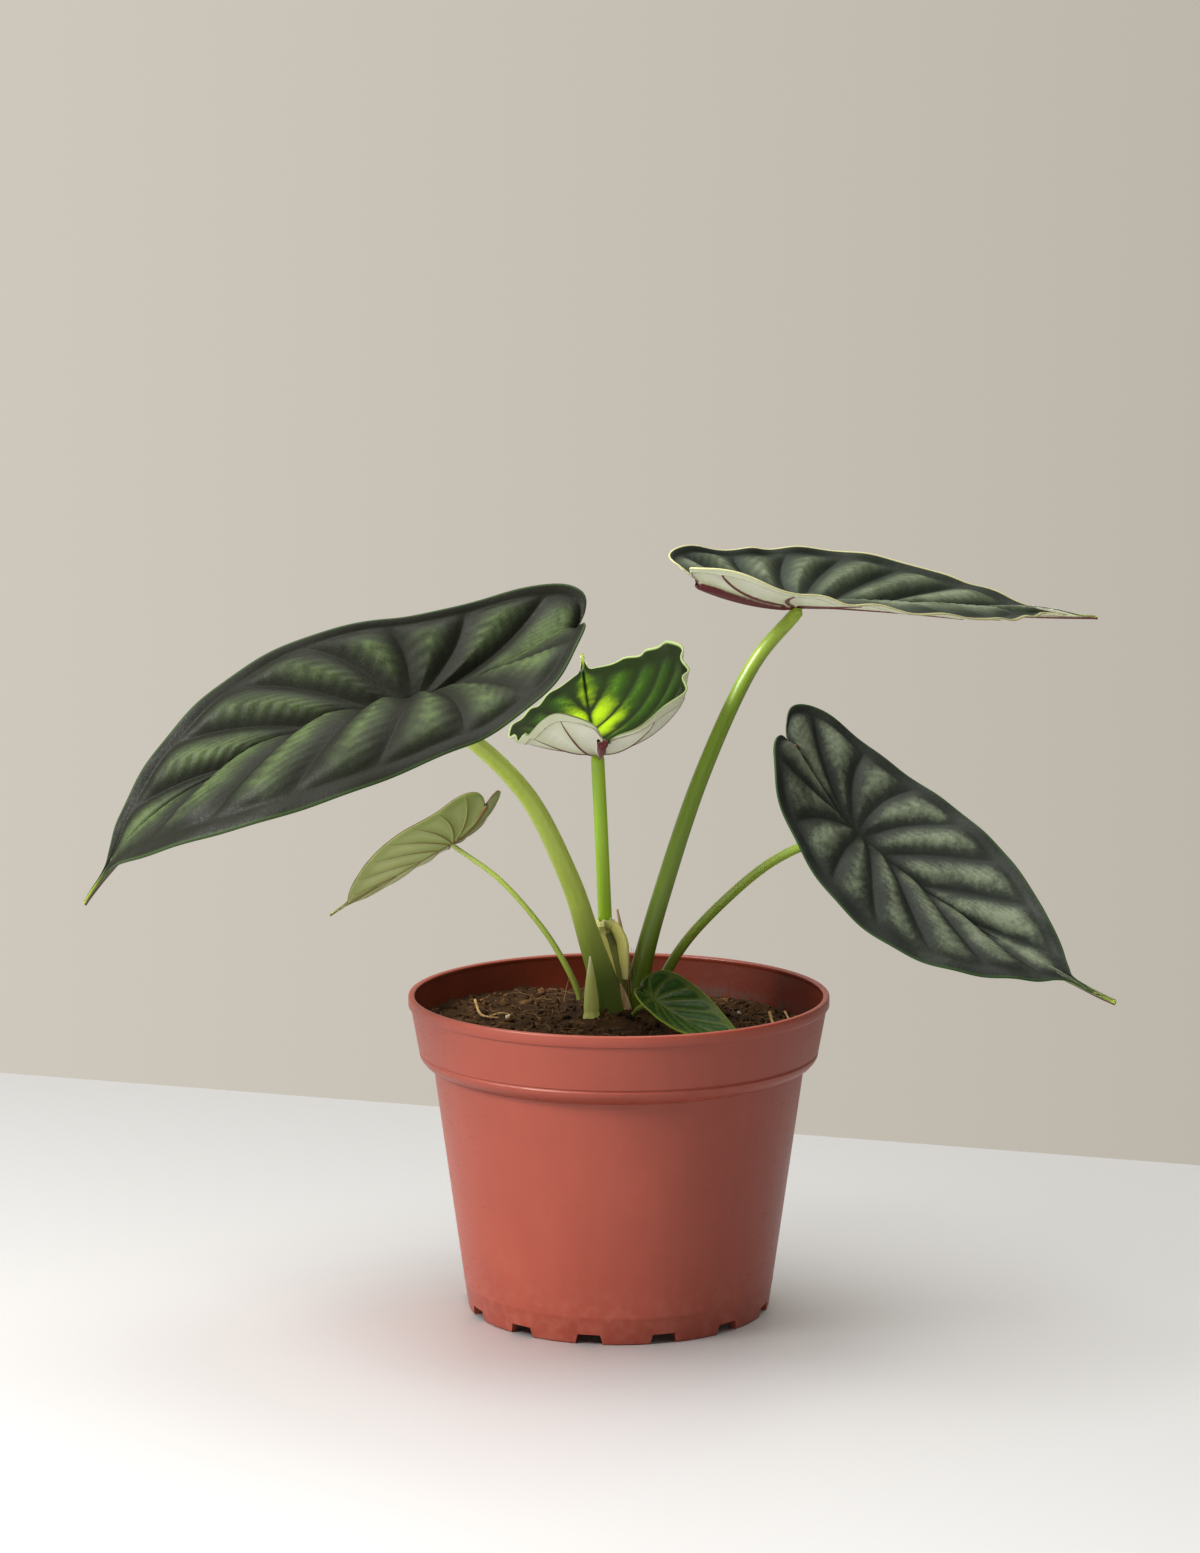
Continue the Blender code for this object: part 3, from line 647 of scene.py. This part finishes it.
def soil_height(x, y):
    """Height of the soil: a low mound at the crown, higher to the left, with clumps and hollows."""
    away = math.hypot(x - CROWN[0], y - CROWN[1])
    mound = MOUND_HEIGHT * math.exp(-0.5 * (away / MOUND_SPREAD) ** 2)
    clumps = 0.0011 * noise.noise(Vector((x, y, 0.3)) * 75)
    crumbs = 0.0009 * noise.noise(Vector((x, y, 0.7)) * 230) + 0.0005 * noise.noise(Vector((x, y, 0.1)) * 560)
    return SOIL_LEVEL + mound - 0.030 * x + clumps + crumbs


def make_soil(finish):
    bm = bmesh.new()
    shade = bm.verts.layers.float.new("shade")
    bmesh.ops.create_grid(bm, x_segments=SOIL_CELLS, y_segments=SOIL_CELLS, size=1.0)
    for vert in bm.verts:
        x, y = vert.co.x, vert.co.y
        disc = Vector((x * math.sqrt(1 - y * y / 2), y * math.sqrt(1 - x * x / 2), 0)) * SOIL_EDGE
        vert.co = (disc.x, disc.y, soil_height(disc.x, disc.y))
        vert[shade] = 0.5 + 0.5 * noise.noise(Vector((disc.x, disc.y, 0.9)) * 160)
    rim = [edge for edge in bm.edges if edge.is_boundary]
    rings_below = [
        (COLLAR_RADIUS - 0.0018, COLLAR_Z), (WALL_TOP_RADIUS - 0.0016, WALL_TOP_Z),
        (wall_radius(0.006) - 0.0018, 0.0056),
    ]
    for radius, height in rings_below:
        grown = bmesh.ops.extrude_edge_only(bm, edges=rim)["geom"]
        for vert in (item for item in grown if isinstance(item, bmesh.types.BMVert)):
            outward = vert.co.xy.normalized() * radius
            vert.co = (outward.x, outward.y, height)
        rim = [item for item in grown if isinstance(item, bmesh.types.BMEdge)]
    bmesh.ops.contextual_create(bm, geom=rim)
    closed_object(bm, "peat", [finish], node="soil", slot="peat_soil")


def on_soil(radius_share, turn):
    reach = (SOIL_EDGE - 0.0022) * math.sqrt(radius_share)
    x, y = reach * math.cos(turn), reach * math.sin(turn)
    return x, y, soil_height(x, y)


def make_crumbs(finish):
    """Loose crumbs and bark bits on the soil, a few of them large."""
    bm = bmesh.new()
    shade = bm.verts.layers.float.new("shade")
    for number in range(CRUMB_COUNT):
        x, y, z = on_soil(DRAWS.random(), DRAWS.uniform(0, 2 * math.pi))
        size = 0.0004 + 0.0009 * DRAWS.random() ** 3
        if number % LARGE_CRUMB_EVERY == 0:
            size += 0.0012 * DRAWS.random()
        made = bmesh.ops.create_icosphere(bm, subdivisions=1, radius=size)["verts"]
        tilt = Matrix.Rotation(DRAWS.uniform(0, 6.3), 4, Vector((DRAWS.random(), DRAWS.random(), 0.3)))
        tint = DRAWS.random()
        stretch = (DRAWS.uniform(0.8, 1.9), DRAWS.uniform(0.6, 1.2), DRAWS.uniform(0.4, 0.9))
        for vert in made:
            knock = 1 + 0.28 * noise.noise(vert.co * 2600 + Vector((number, 0, 0)))
            local = Vector((vert.co.x * stretch[0], vert.co.y * stretch[1], vert.co.z * stretch[2])) * knock
            vert.co = Vector((x, y, z + size * 0.25)) + tilt @ local
            vert[shade] = tint
    object_from(bm, "crumbs", [finish], slot="peat_soil")


def make_fibres(finish):
    """Fine coir fibres lying over the soil."""
    bm = bmesh.new()
    for _ in range(FIBRE_COUNT):
        x, y, z = on_soil(DRAWS.random(), DRAWS.uniform(0, 2 * math.pi))
        turn, bend, length = DRAWS.uniform(0, 6.3), DRAWS.uniform(-1.6, 1.6), DRAWS.uniform(0.003, 0.011)
        line = []
        for step in range(6):
            line.append((x, y, soil_height(x, y) + 0.0003 + 0.0007 * math.sin(math.pi * step / 5)))
            turn += bend / 5
            x, y = x + length / 5 * math.cos(turn), y + length / 5 * math.sin(turn)
            if math.hypot(x, y) > SOIL_EDGE - 0.002:
                break
        if len(line) > 2:
            add_tube(bm, line, [0.00011, 0.00013, 0.00006], 4)
    closed_object(bm, "coir_fibres", [finish], slot="dry_sheath")


# Rootlets and stubs, as points on the soil's plan and a height above it, with a thickness.
ROOTLETS = [
    ([(-0.0520, 0.0200, 0.004), (-0.0500, 0.0120, 0.0012), (-0.0470, 0.0060, 0.0010),
      (-0.0430, 0.0030, 0.0006)], 0.0005),
    ([(-0.0462, 0.0070, 0.0012), (-0.0420, 0.0060, 0.0015), (-0.0370, 0.0050, 0.0008)], 0.00028),
    ([(0.0545, 0.0150, 0.0035), (0.0552, 0.0080, 0.0014), (0.0560, 0.0020, 0.0008)], 0.0006),
    ([(0.0600, 0.0160, 0.0040), (0.0622, 0.0060, 0.0022), (0.0635, 0.0010, 0.0010)], 0.0004),
    ([(-0.0200, 0.0300, 0.0010), (-0.0185, 0.0280, 0.0080), (-0.0170, 0.0270, 0.0120)], 0.00016),
]


def make_rootlets(finish):
    bm = bmesh.new()
    for points, thickness in ROOTLETS:
        line = smooth_curve([(x, y, soil_height(x, y) + up) for x, y, up in points], 14)
        add_tube(bm, line, [thickness, thickness, thickness * 0.5], 8)
    closed_object(bm, "rootlets", [finish], slot="dry_sheath")


def make_perlite(finish):
    bm = bmesh.new()
    for x, y, size in PERLITE:
        made = bmesh.ops.create_icosphere(bm, subdivisions=2, radius=size)["verts"]
        for vert in made:
            vert.co *= 1 + 0.35 * noise.noise(vert.co * 1700 + Vector((x, y, 0)) * 900)
            vert.co += Vector((x, y, soil_height(x, y) + size * 0.5))
    object_from(bm, "perlite_bits", [finish], slot="peat_soil")


# Leaf blades ----------


def placing(leaf):
    return np.array(
        Matrix.Translation(leaf["at"])
        @ Matrix.Rotation(math.radians(leaf["turn"]), 4, "Z")
        @ Matrix.Rotation(-math.radians(leaf["tilt"]), 4, "Y")
        @ Matrix.Rotation(math.radians(leaf["roll"]), 4, "X")
    )


def midrib(leaf):
    """Place along and rise of the bent midrib and its slope, against its flat length."""
    flat = np.linspace(-0.7, 1.3, BEND_STEPS + 1)
    slopes = np.radians(
        np.where(flat > 0, leaf["nod"][0] * flat + leaf["nod"][1] * flat**2, leaf["rise"] * 2 * flat)
    )
    step = 2.0 / BEND_STEPS
    along = np.r_[0, np.cumsum(step * np.cos(slopes[1:]))]
    rise = np.r_[0, np.cumsum(step * np.sin(slopes[1:]))]
    return flat, along - np.interp(0, flat, along), rise - np.interp(0, flat, rise), slopes


def bend(leaf, x, reach, left):
    """Local places of points of the flat blade."""
    fold = np.where(left, *leaf["fold"]) + np.where(left, *leaf["fold_growth"]) * x
    cup = np.where(left, *leaf["cup"])
    out, up = np.zeros_like(x), np.zeros_like(x)
    steps = 12
    for i in range(steps):
        angle = np.radians(fold + cup * reach * (i + 0.5) / steps / 0.4)
        out += np.cos(angle) * reach / steps
        up += np.sin(angle) * reach / steps
    out = np.where(left, out, -out)
    twist = np.radians(leaf["twist"] * x)
    side = out * np.cos(twist) - up * np.sin(twist)
    lift = out * np.sin(twist) + up * np.cos(twist)
    flat, along, rise, slopes = midrib(leaf)
    slope = np.interp(x, flat, slopes)
    forward = np.interp(x, flat, along) - np.sin(slope) * lift
    height = np.interp(x, flat, rise) + np.cos(slope) * lift
    side = side + np.where(forward > 0, forward**2, 0) * math.tan(math.radians(leaf["sweep"])) / 2
    return np.stack([forward, side, height], axis=-1) * leaf["length"]


def crowded(share):
    """Moves evenly spaced shares together at the veins."""
    ends = np.array(VEIN_ENDS)
    spot = share * (len(ends) - 1)
    panel = np.minimum(spot.astype(int), len(ends) - 2)
    u = spot - panel
    u = u - CROWDING * np.sin(2 * np.pi * u)
    return ends[panel] + (ends[panel + 1] - ends[panel]) * u


def flat_blade(leaf, share, across):
    """Flat place (x, reach) of each point, its distance along its row, and the rows' feet and edge."""
    left = across >= 0
    far = np.abs(across)
    edge_x, edge_y = np.zeros_like(share), np.zeros_like(share)
    for half, mask in ((0, left), (1, ~left)):
        points = [
            (x * leaf["lobes"][half] if x < 0 else x, y * leaf["width"][half], 0.0)
            for x, y in [*OUTLINE[:-1], (leaf["tail"], OUTLINE[-1][1])]
        ]
        line = smooth_curve(points, 400)
        spots = np.linspace(0, 1, 400)
        edge_x[mask] = np.interp(share[mask], spots, line[:, 0])
        edge_y[mask] = np.interp(share[mask], spots, line[:, 1])
    notch = OUTLINE[0][0] * sum(leaf["lobes"]) / 2
    feet = [notch, *VEIN_FEET[1:-1], leaf["tail"]]
    foot = np.interp(share, VEIN_ENDS, feet)
    foot = foot + np.where(left, 0, VEIN_SHIFT) * far * (1 - far) * 4 * np.clip(3 * share * (1 - share), 0, 1)
    bow = VEIN_BOW * np.sin(np.pi * far) * np.clip(8 * share * (1 - share), 0, 1)
    x = foot + (edge_x - foot) * far - bow
    row_length = np.hypot(edge_x - foot, edge_y) * leaf["length"]
    return x, edge_y * far, row_length, left, far


def panel_of(share):
    """Which panel between two veins a point lies in, and how far across it."""
    ends = np.array(VEIN_ENDS)
    panel = np.clip(np.searchsorted(ends, share, side="right") - 1, 0, len(ends) - 2)
    return panel, (share - ends[panel]) / (ends[panel + 1] - ends[panel])


def quilting(leaf, share, far, row_length, left):
    """Relief of the upper face in metres, the patterns that its finish follows, and where ribs are."""
    panel, u = panel_of(share)
    ends = np.array(VEIN_ENDS)
    feet = np.array([OUTLINE[0][0], *VEIN_FEET[1:-1], 1.0])
    at_margin = (ends[panel + 1] - ends[panel]) * OUTLINE_LENGTH
    wide = (feet[panel + 1] - feet[panel]) * (1 - far) + at_margin * far
    wide = wide * leaf["length"]
    to_vein = np.minimum(u, 1 - u) * wide * 0.8
    to_midrib = far * row_length
    to_collector = np.maximum(COLLECTOR - far, 0) * row_length
    soft = leaf["soft"] * MM

    def rise(distance, reach=soft):
        return 1 - np.exp(-((distance / reach) ** 1.35))

    pillow = rise(to_vein) * rise(to_midrib, soft * 1.2) * rise(to_collector, soft * 0.7)
    beyond = np.clip((far - COLLECTOR) / (1 - COLLECTOR), 0, 1)
    band = np.sin(np.pi * np.clip(beyond * 0.75, 0, 1)) * np.minimum(1, row_length / 0.02)
    pleat_height, pleat_step = leaf["pleats"][0] * MM, leaf["pleats"][1] * MM
    phase = (to_midrib - 0.75 * to_vein) / pleat_step + 0.37 * panel
    pleat = 0.5 + 0.5 * np.cos(2 * np.pi * phase)
    vein_size = leaf["rib"] * MM * (0.34 - 0.20 * far)
    at_vein = np.exp(-((to_vein / vein_size) ** 2)) * (far < COLLECTOR + 0.02)
    at_vein = at_vein * (share > 0.02) * (share < 0.985)
    at_midrib = np.exp(-((to_midrib / (leaf["rib"] * MM * 0.42 * np.clip(1.25 - share, 0.2, 1))) ** 2))
    collector = 0.55 * np.exp(-((np.abs(far - COLLECTOR) * row_length / (0.5 * MM)) ** 2))
    rib = np.clip(np.maximum(np.maximum(at_vein, at_midrib), collector), 0, 1)
    short_wave = np.sin(2 * np.pi * u) * 0.35 * np.minimum(1, wide / 0.012)
    long_wave = 0.9 * np.sin(9.0 * share + 2.0 * panel[0])
    flutter = leaf["flutter"] * MM * far**3 * (short_wave + long_wave)
    flutter = flutter * np.clip(14 * share, 0, 1) * np.clip(8 * (1 - share), 0, 1)
    relief = leaf["puff"] * MM * pillow + pleat_height * pleat * pillow
    relief = relief - 0.35 * MM * at_midrib * leaf["rib"] / 2
    relief = relief + 0.13 * leaf["puff"] * MM * band + flutter
    ends_fade = np.clip(10 * share, 0, 1) * np.clip(5 * (0.98 - share), 0, 1)
    frill = leaf.get("frill", 0) * MM * far**6 * np.sin(46 * share + 1.5 * np.sin(17 * share))
    curl = np.where(left, *leaf.get("curl", (0, 0))) * MM * np.clip((far - 0.80) / 0.20, 0, 1) ** 1.6
    relief = relief + (frill + curl) * ends_fade
    # Mask of the painted light shining through the blade: around the midrib, strongest at three quarters of
    # its length.
    painted_backlight = np.exp(-(((share - 0.76) / 0.16) ** 2)) * np.exp(-((to_midrib / 0.021) ** 2)) * pillow**0.4
    patterns = dict(swell=pillow, pleat=pleat * pillow, rib=rib, edge=far, painted_backlight=painted_backlight, along=share)
    return relief, patterns, at_midrib, at_vein


def underside_weights(leaf, at_midrib, at_vein, share, far):
    """How thick the blade is against its thickest place, under the petiole."""
    full = BLADE_WEB + leaf["rib"] * MM
    thick = BLADE_WEB + (BLADE_EDGE - BLADE_WEB) * far**4
    thick = thick + leaf["rib"] * MM * 0.95 * at_midrib * np.clip(1.1 - share, 0.15, 1)
    thick = np.maximum(thick, BLADE_WEB + 0.42 * leaf["rib"] * MM * at_vein * (1 - 0.7 * far))
    return np.clip(thick / full, 0.05, 1), full


def make_blade(name, leaf, face, back, slot):
    rows, columns = leaf["mesh"][0] * (len(VEIN_ENDS) - 1), leaf["mesh"][1]
    bm = bmesh.new()
    bmesh.ops.create_grid(bm, x_segments=rows, y_segments=columns, size=1.0)
    grid = np.array([vert.co for vert in bm.verts])
    order = np.lexsort((grid[:, 0], grid[:, 1]))
    share = crowded((grid[order, 0] + 1) / 2)
    across = grid[order, 1]
    across = np.sign(across) * np.abs(across) ** 0.92
    x, reach, row_length, left, far = flat_blade(leaf, share, across)
    relief, patterns, at_midrib, at_vein = quilting(leaf, share, far, row_length, left)
    smooth = bend(leaf, x, reach, left).reshape(columns + 1, rows + 1, 3)
    normal = np.cross(np.gradient(smooth, axis=1), np.gradient(smooth, axis=0))
    normal /= np.linalg.norm(normal, axis=-1, keepdims=True) + 1e-12
    local = smooth.reshape(-1, 3) + normal.reshape(-1, 3) * relief[:, None]
    place = placing(leaf)
    world = local @ place[:3, :3].T + place[:3, 3]
    weights, full = underside_weights(leaf, at_midrib, at_vein, share, far)
    layers = {key: bm.verts.layers.float.new(key) for key in patterns}
    deform = bm.verts.layers.deform.verify()
    bm.verts.ensure_lookup_table()
    for number, index in enumerate(order):
        vert = bm.verts[index]
        vert.co = world[number]
        vert[deform][0] = weights[number]
        for key, layer in layers.items():
            vert[layer] = patterns[key][number]
    bmesh.ops.remove_doubles(bm, verts=bm.verts, dist=MERGE)
    blade = object_from(bm, f"leaf_{name}", [face, back], node=f"blade_{name}", slot=slot)
    blade.vertex_groups.new(name="body")
    solidify = blade.modifiers.new("body", "SOLIDIFY")
    solidify.thickness = full
    solidify.offset = -1.0
    solidify.vertex_group = "body"
    solidify.material_offset = 1
    solidify.use_rim = True


# Petioles and sheaths ----------


def petiole_end(leaf, depth):
    normal = Vector(placing(leaf)[:3, 2])
    return Vector(leaf["at"]) - normal * depth


def make_petiole(name, petiole, skin):
    leaf = LEAVES[name]
    top, foot = petiole["top"], petiole["foot"]
    end = petiole_end(leaf, PETIOLE_REACH + 1.1 * top)
    line = list(smooth_curve([*petiole["route"], end], 84))
    line.append(petiole_end(leaf, PETIOLE_REACH + 0.35 * top))
    radii = np.linspace(foot, top, len(line))
    radii[-1] *= 0.72
    tall = line[-1][2] - line[0][2]

    def clasp(angle, share):
        """Wider where the foot clasps the stem, with faint ridges along it."""
        foot_share = math.exp(-((share * tall / 0.017) ** 2))
        wide = 1 + (petiole["clasp"] - 1) * foot_share * (0.35 + 0.65 * math.sin(angle) ** 2)
        return wide * (1 + 0.012 * math.sin(9 * angle))

    tube_object(f"stalk_{name}", line, radii, 32, [skin], clasp, node=f"petiole_{name}", slot="petiole")


def make_sleeve(skin):
    """The cream sheath's sleeve: a thin sheet round the young petiole, with a ragged upper edge."""
    columns, rows = 28, 24
    line = smooth_curve(
        [(-0.0043, 0.0186, 0.1270), (-0.0047, 0.0176, 0.1330), (-0.0049, 0.0168, 0.1372)], rows + 1
    )
    # Its two edges in degrees and its radius: at its foot, half way up and at its top.
    knots, firsts, seconds, radii = (0, 0.5, 1), (140, 150, 190), (420, 410, 360), (0.0040, 0.0038, 0.0033)
    bm = bmesh.new()
    along = bm.verts.layers.float.new("along")
    bmesh.ops.create_grid(bm, x_segments=columns, y_segments=rows, size=1.0)
    for vert in bm.verts:
        across, share = (vert.co.x + 1) / 2, (vert.co.y + 1) / 2
        first, second = np.interp(share, knots, firsts), np.interp(share, knots, seconds)
        angle = math.radians(first + (second - first) * across)
        radius = np.interp(share, knots, radii) * (1 + 0.035 * math.sin(14 * angle))
        ragged = 0.0015 * noise.noise(Vector((across * 5, 0, 0))) * share
        x, y, z = (np.interp(share * rows, range(rows + 1), line[:, axis]) for axis in range(3))
        vert.co = (x + radius * math.cos(angle), y + radius * math.sin(angle), z + ragged)
        vert[along] = share
    bmesh.ops.solidify(bm, geom=bm.faces, thickness=0.0006)
    closed_object(bm, "sheath_sleeve", [skin], node="cataphyll_wrapped", slot="pale_cataphyll")


def make_pointed_sheath(skin):
    """The pale pointed sheath beside the crown, with its ringed foot."""
    route = [
        (-0.0096, 0.0030, 0.0980), (-0.0097, 0.0028, 0.1060), (-0.0100, 0.0022, 0.1180),
        (-0.0102, 0.0014, 0.1262),
    ]

    def ridges(angle, share):
        ring, groove = math.exp(-(((share - 0.20) / 0.05) ** 2)), math.exp(-(((share - 0.28) / 0.03) ** 2))
        return (1 + 0.10 * ring - 0.06 * groove) * (1 + 0.03 * math.sin(8 * angle))

    radii = [0.0027, 0.0029, 0.0028, 0.0025, 0.0019, 0.0011, 0.0003]
    tube_object(
        "sheath_pointed", smooth_curve(route, 40), radii, 28, [skin], ridges,
        node="cataphyll_pointed", slot="pale_cataphyll",
    )


def make_hooked_sheath(cream, green):
    """The cream sheath: a sleeve round the young petiole, and two flat legs that run down from it."""
    make_sleeve(cream)
    legs = {
        "right": ([(-0.0042, 0.0135, 0.1350), (-0.0016, 0.0122, 0.1350), (0.0012, 0.0112, 0.1300),
                   (0.0018, 0.0110, 0.1230), (0.0024, 0.0105, 0.1160)],
                  [0.0026, 0.0034, 0.0036, 0.0031, 0.0018]),
        "left": ([(-0.0060, 0.0135, 0.1345), (-0.0058, 0.0120, 0.1300), (-0.0042, 0.0110, 0.1240),
                  (-0.0026, 0.0100, 0.1180), (-0.0008, 0.0092, 0.1120)],
                 [0.0017, 0.0022, 0.0021, 0.0018, 0.0010]),
    }
    flat = flattened(0.55)
    for side, (route, radii) in legs.items():
        line = smooth_curve(route, 40)
        tube_object(f"sheath_leg_{side}", line, radii, 20, [cream], flat, slot="pale_cataphyll")
    groove = smooth_curve(
        [(-0.0046, 0.0140, 0.1320), (-0.0018, 0.0132, 0.1250), (0.0000, 0.0125, 0.1160),
         (0.0010, 0.0120, 0.1080)], 30,
    )
    tube_object("sheath_inner", groove, [0.0022, 0.0026, 0.0022], 20, [green], slot="petiole")


def make_dry_sheath(skin):
    """The dry strip behind the crown, and the loose fibres on it."""
    strip = smooth_curve([(0.0040, 0.0245, 0.1020), (0.0030, 0.0248, 0.1200), (-0.0005, 0.0250, 0.1390)], 40)
    tube_object(
        "sheath_dry", strip, [0.0014, 0.0012, 0.0004], 12, [skin], flattened(0.6),
        node="cataphyll_dry", slot="dry_sheath",
    )
    bm = bmesh.new()
    for number in range(9):
        x, y = 0.0008 + 0.0007 * number, 0.0128 + 0.0004 * (number % 3)
        sway = DRAWS.uniform(-0.004, 0.003)
        top = (x + sway, y - 0.001, 0.124 + 0.0016 * (number % 5))
        line = smooth_curve([(x, y, 0.104), (x + 0.3 * sway, y, 0.116), top], 12)
        add_tube(bm, line, [0.00022, 0.00016, 0.00006], 5)
    papery = smooth_curve([(0.0028, 0.0095, 0.1045), (0.0020, 0.0092, 0.1090), (0.0006, 0.0092, 0.1148)], 12)
    add_tube(bm, papery, [0.0022, 0.0015, 0.0002], 12, flattened(0.8))
    closed_object(bm, "dry_fibres", [skin], slot="dry_sheath")


# The whole plant ----------


# Looks of each leaf's face: tones of its veins, hollows, panels, crests and rim, and what else differs.
FACES = {
    "large_left": dict(tones=[(25, 27, 19), (32, 36, 26), (48, 56, 37), (74, 89, 54), (51, 69, 36)]),
    "young_centre": dict(
        tones=[(24, 36, 10), (29, 48, 10), (38, 64, 12), (56, 88, 16), (150, 166, 110)],
        # The young blade's backlight tone is painted light shining through it.
        roughness=0.5, painted_backlight=tone(138, 170, 14), shine=0.04,
    ),
    "high_right": dict(tones=[(36, 42, 35), (49, 58, 46), (75, 84, 65), (111, 119, 99), (188, 186, 138)]),
    "hanging_right": dict(
        tones=[(35, 38, 34), (46, 51, 44), (80, 88, 72), (107, 115, 96), (46, 68, 37)],
        mottle=0.8, sharp=(0.20, 0.62),
    ),
    "small_left": dict(tones=[(54, 62, 34), (84, 98, 50), (108, 122, 66), (128, 140, 84), (84, 70, 40)]),
    "low_front": dict(
        tones=[(68, 84, 31), (29, 55, 9), (37, 70, 12), (57, 93, 20), (105, 122, 36)],
        roughness=0.24, mottle=0.25, sharp=(0.55, 1.05), tip=tone(96, 132, 52),
    ),
}
# Tones of each petiole at its foot, middle and top; the darker foot tones are partly painted shade low in the
# crown.
SKINS = {
    "large_left": [(92, 114, 47), (189, 211, 92), (208, 225, 122)],
    "young_centre": [(136, 162, 38), (167, 210, 43), (158, 195, 40)],
    "high_right": [(95, 118, 29), (116, 145, 37), (161, 186, 64)],
    "hanging_right": [(112, 130, 48), (138, 162, 60), (150, 170, 76)],
    "small_left": [(128, 136, 60), (158, 178, 78), (162, 174, 96)],
    "low_front": [(104, 118, 52), (130, 152, 62), (140, 160, 70)],
}
FRESH_LEAVES = ("young_centre", "low_front")


def make_leaves():
    green = blade_back("back_green", tone(112, 122, 74), tone(140, 150, 104), tone(88, 70, 50))
    white = blade_back("back_whitish", tone(218, 223, 192), tone(247, 248, 234), tone(104, 40, 44))
    olive = blade_back(
        "back_small", tone(154, 169, 96), tone(189, 199, 136), tone(138, 113, 74), (0.35, 0.95)
    )
    backs = {"young_centre": white, "high_right": white, "small_left": olive}
    for name, leaf in LEAVES.items():
        face = blade_face(f"face_{name.split('_')[0]}", **FACES[name])
        slot = "fresh_blade" if name in FRESH_LEAVES else "dark_blade"
        make_blade(name, leaf, face, backs.get(name, green), slot)
    for name, petiole in PETIOLES.items():
        skin = petiole_skin(f"stalk_{name.split('_')[0]}", *(tone(*levels) for levels in SKINS[name]))
        make_petiole(name, petiole, skin)


def make_plant():
    make_leaves()
    cream = sheath_skin("sheath_cream", tone(250, 246, 150), tone(250, 247, 180))
    pale = sheath_skin("sheath_pale", tone(196, 206, 116), tone(238, 238, 192))
    olive = petiole_skin("sheath_olive", tone(96, 104, 44), tone(118, 126, 54), tone(124, 132, 60))
    dry = dry_skin("dry_straw", tone(224, 196, 150), tone(160, 122, 84))
    make_pointed_sheath(pale)
    make_hooked_sheath(cream, olive)
    make_dry_sheath(dry)
    peat = soil_finish("peat")
    make_soil(peat)
    make_crumbs(peat)
    make_fibres(dry_skin("coir", tone(150, 116, 76), tone(86, 60, 38)))
    make_rootlets(dry_skin("root_straw", tone(196, 164, 112), tone(140, 104, 66)))
    make_perlite(dry_skin("perlite", tone(222, 214, 196), tone(180, 168, 146)))
    rhizome = frame["nodes"]["rhizome"]
    bark = corm_finish()
    for slot in rhizome.material_slots:
        slot.material = bark


# Stage ----------

TABLE_TURN = math.radians(-18.1)
TABLE_FAR_EDGE = (-0.277, 0.366)  # a point on it
TABLE_SIZE = (5.0, 2.6, 0.02)
ROOM_LIGHT = 1.0
# Colour of the room's light, from the left end of X to its right end.
ROOM_STOPS = [
    (0.0, (0.75, 0.73, 0.69, 1)), (0.41, (0.625, 0.580, 0.510, 1)), (0.59, (0.505, 0.465, 0.405, 1)),
    (1.0, (0.18, 0.165, 0.145, 1)),
]
WINDOW_POWER = 107
OVERHEAD_POWER = 28
LIGHTS_AIM = (0, 0, 0.13)
CAMERA_PLACE = (-0.0067, -1.2417, 0.3674)
CAMERA_TILT = math.radians(81.92)
CAMERA_LENS = 82.25
CAMERA_SENSOR = 36


def make_table():
    finish = Finish("pale_table", Base_Color=tone(238, 240, 243), Roughness=0.55, Specular_IOR_Level=0.3)
    bm = bmesh.new()
    bmesh.ops.create_cube(bm, size=1.0)
    spot = Matrix.Translation((*TABLE_FAR_EDGE, 0)) @ Matrix.Rotation(TABLE_TURN, 4, "Z")
    for vert in bm.verts:
        vert.co = spot @ Vector(
            (vert.co.x * TABLE_SIZE[0], (vert.co.y - 0.5) * TABLE_SIZE[1], (vert.co.z - 0.5) * TABLE_SIZE[2])
        )
    object_from(bm, "table", [finish.material])


def make_world():
    """Soft room light, brighter from the left than from the right."""
    world = bpy.data.worlds.new("soft_room")
    bpy.context.scene.world = world
    world.use_nodes = True
    tree = world.node_tree
    direction = add_node(tree, "TexCoord", "Generated", {})
    rightward = add_node(tree, "SeparateXYZ", "X", {"Vector": direction})
    share = add_node(tree, "Math", 0, {0: rightward, 1: 0.5, 2: 0.5}, operation="MULTIPLY_ADD")
    background = tree.nodes["Background"]
    put(tree, background.inputs["Color"], add_ramp(tree, share, ROOM_STOPS))
    put(tree, background.inputs["Strength"], ROOM_LIGHT)


def make_light(name, place, size, power, colour):
    light = bpy.data.lights.new(name, "AREA")
    light.size, light.energy, light.color = size, power, colour
    obj = link(bpy.data.objects.new(name, light))
    obj.location = place
    obj.rotation_euler = (Vector(LIGHTS_AIM) - Vector(place)).to_track_quat("-Z", "Y").to_euler()


def make_stage():
    make_table()
    make_world()
    make_light("window", (-1.84, -1.12, 1.76), 0.96, WINDOW_POWER, (1.0, 0.985, 0.95))
    make_light("overhead", (-0.10, 0.10, 1.9), 1.6, OVERHEAD_POWER, (1.0, 0.99, 0.97))
    camera = link(bpy.data.objects.new("camera", bpy.data.cameras.new("camera")))
    camera.data.lens, camera.data.sensor_width = CAMERA_LENS, CAMERA_SENSOR
    camera.location = CAMERA_PLACE
    camera.rotation_euler = (CAMERA_TILT, 0, 0)
    bpy.context.scene.camera = camera
    bpy.context.scene.view_settings.view_transform = "Standard"


make_pot()
make_plant()
make_stage()

bpy.context.view_layer.update()
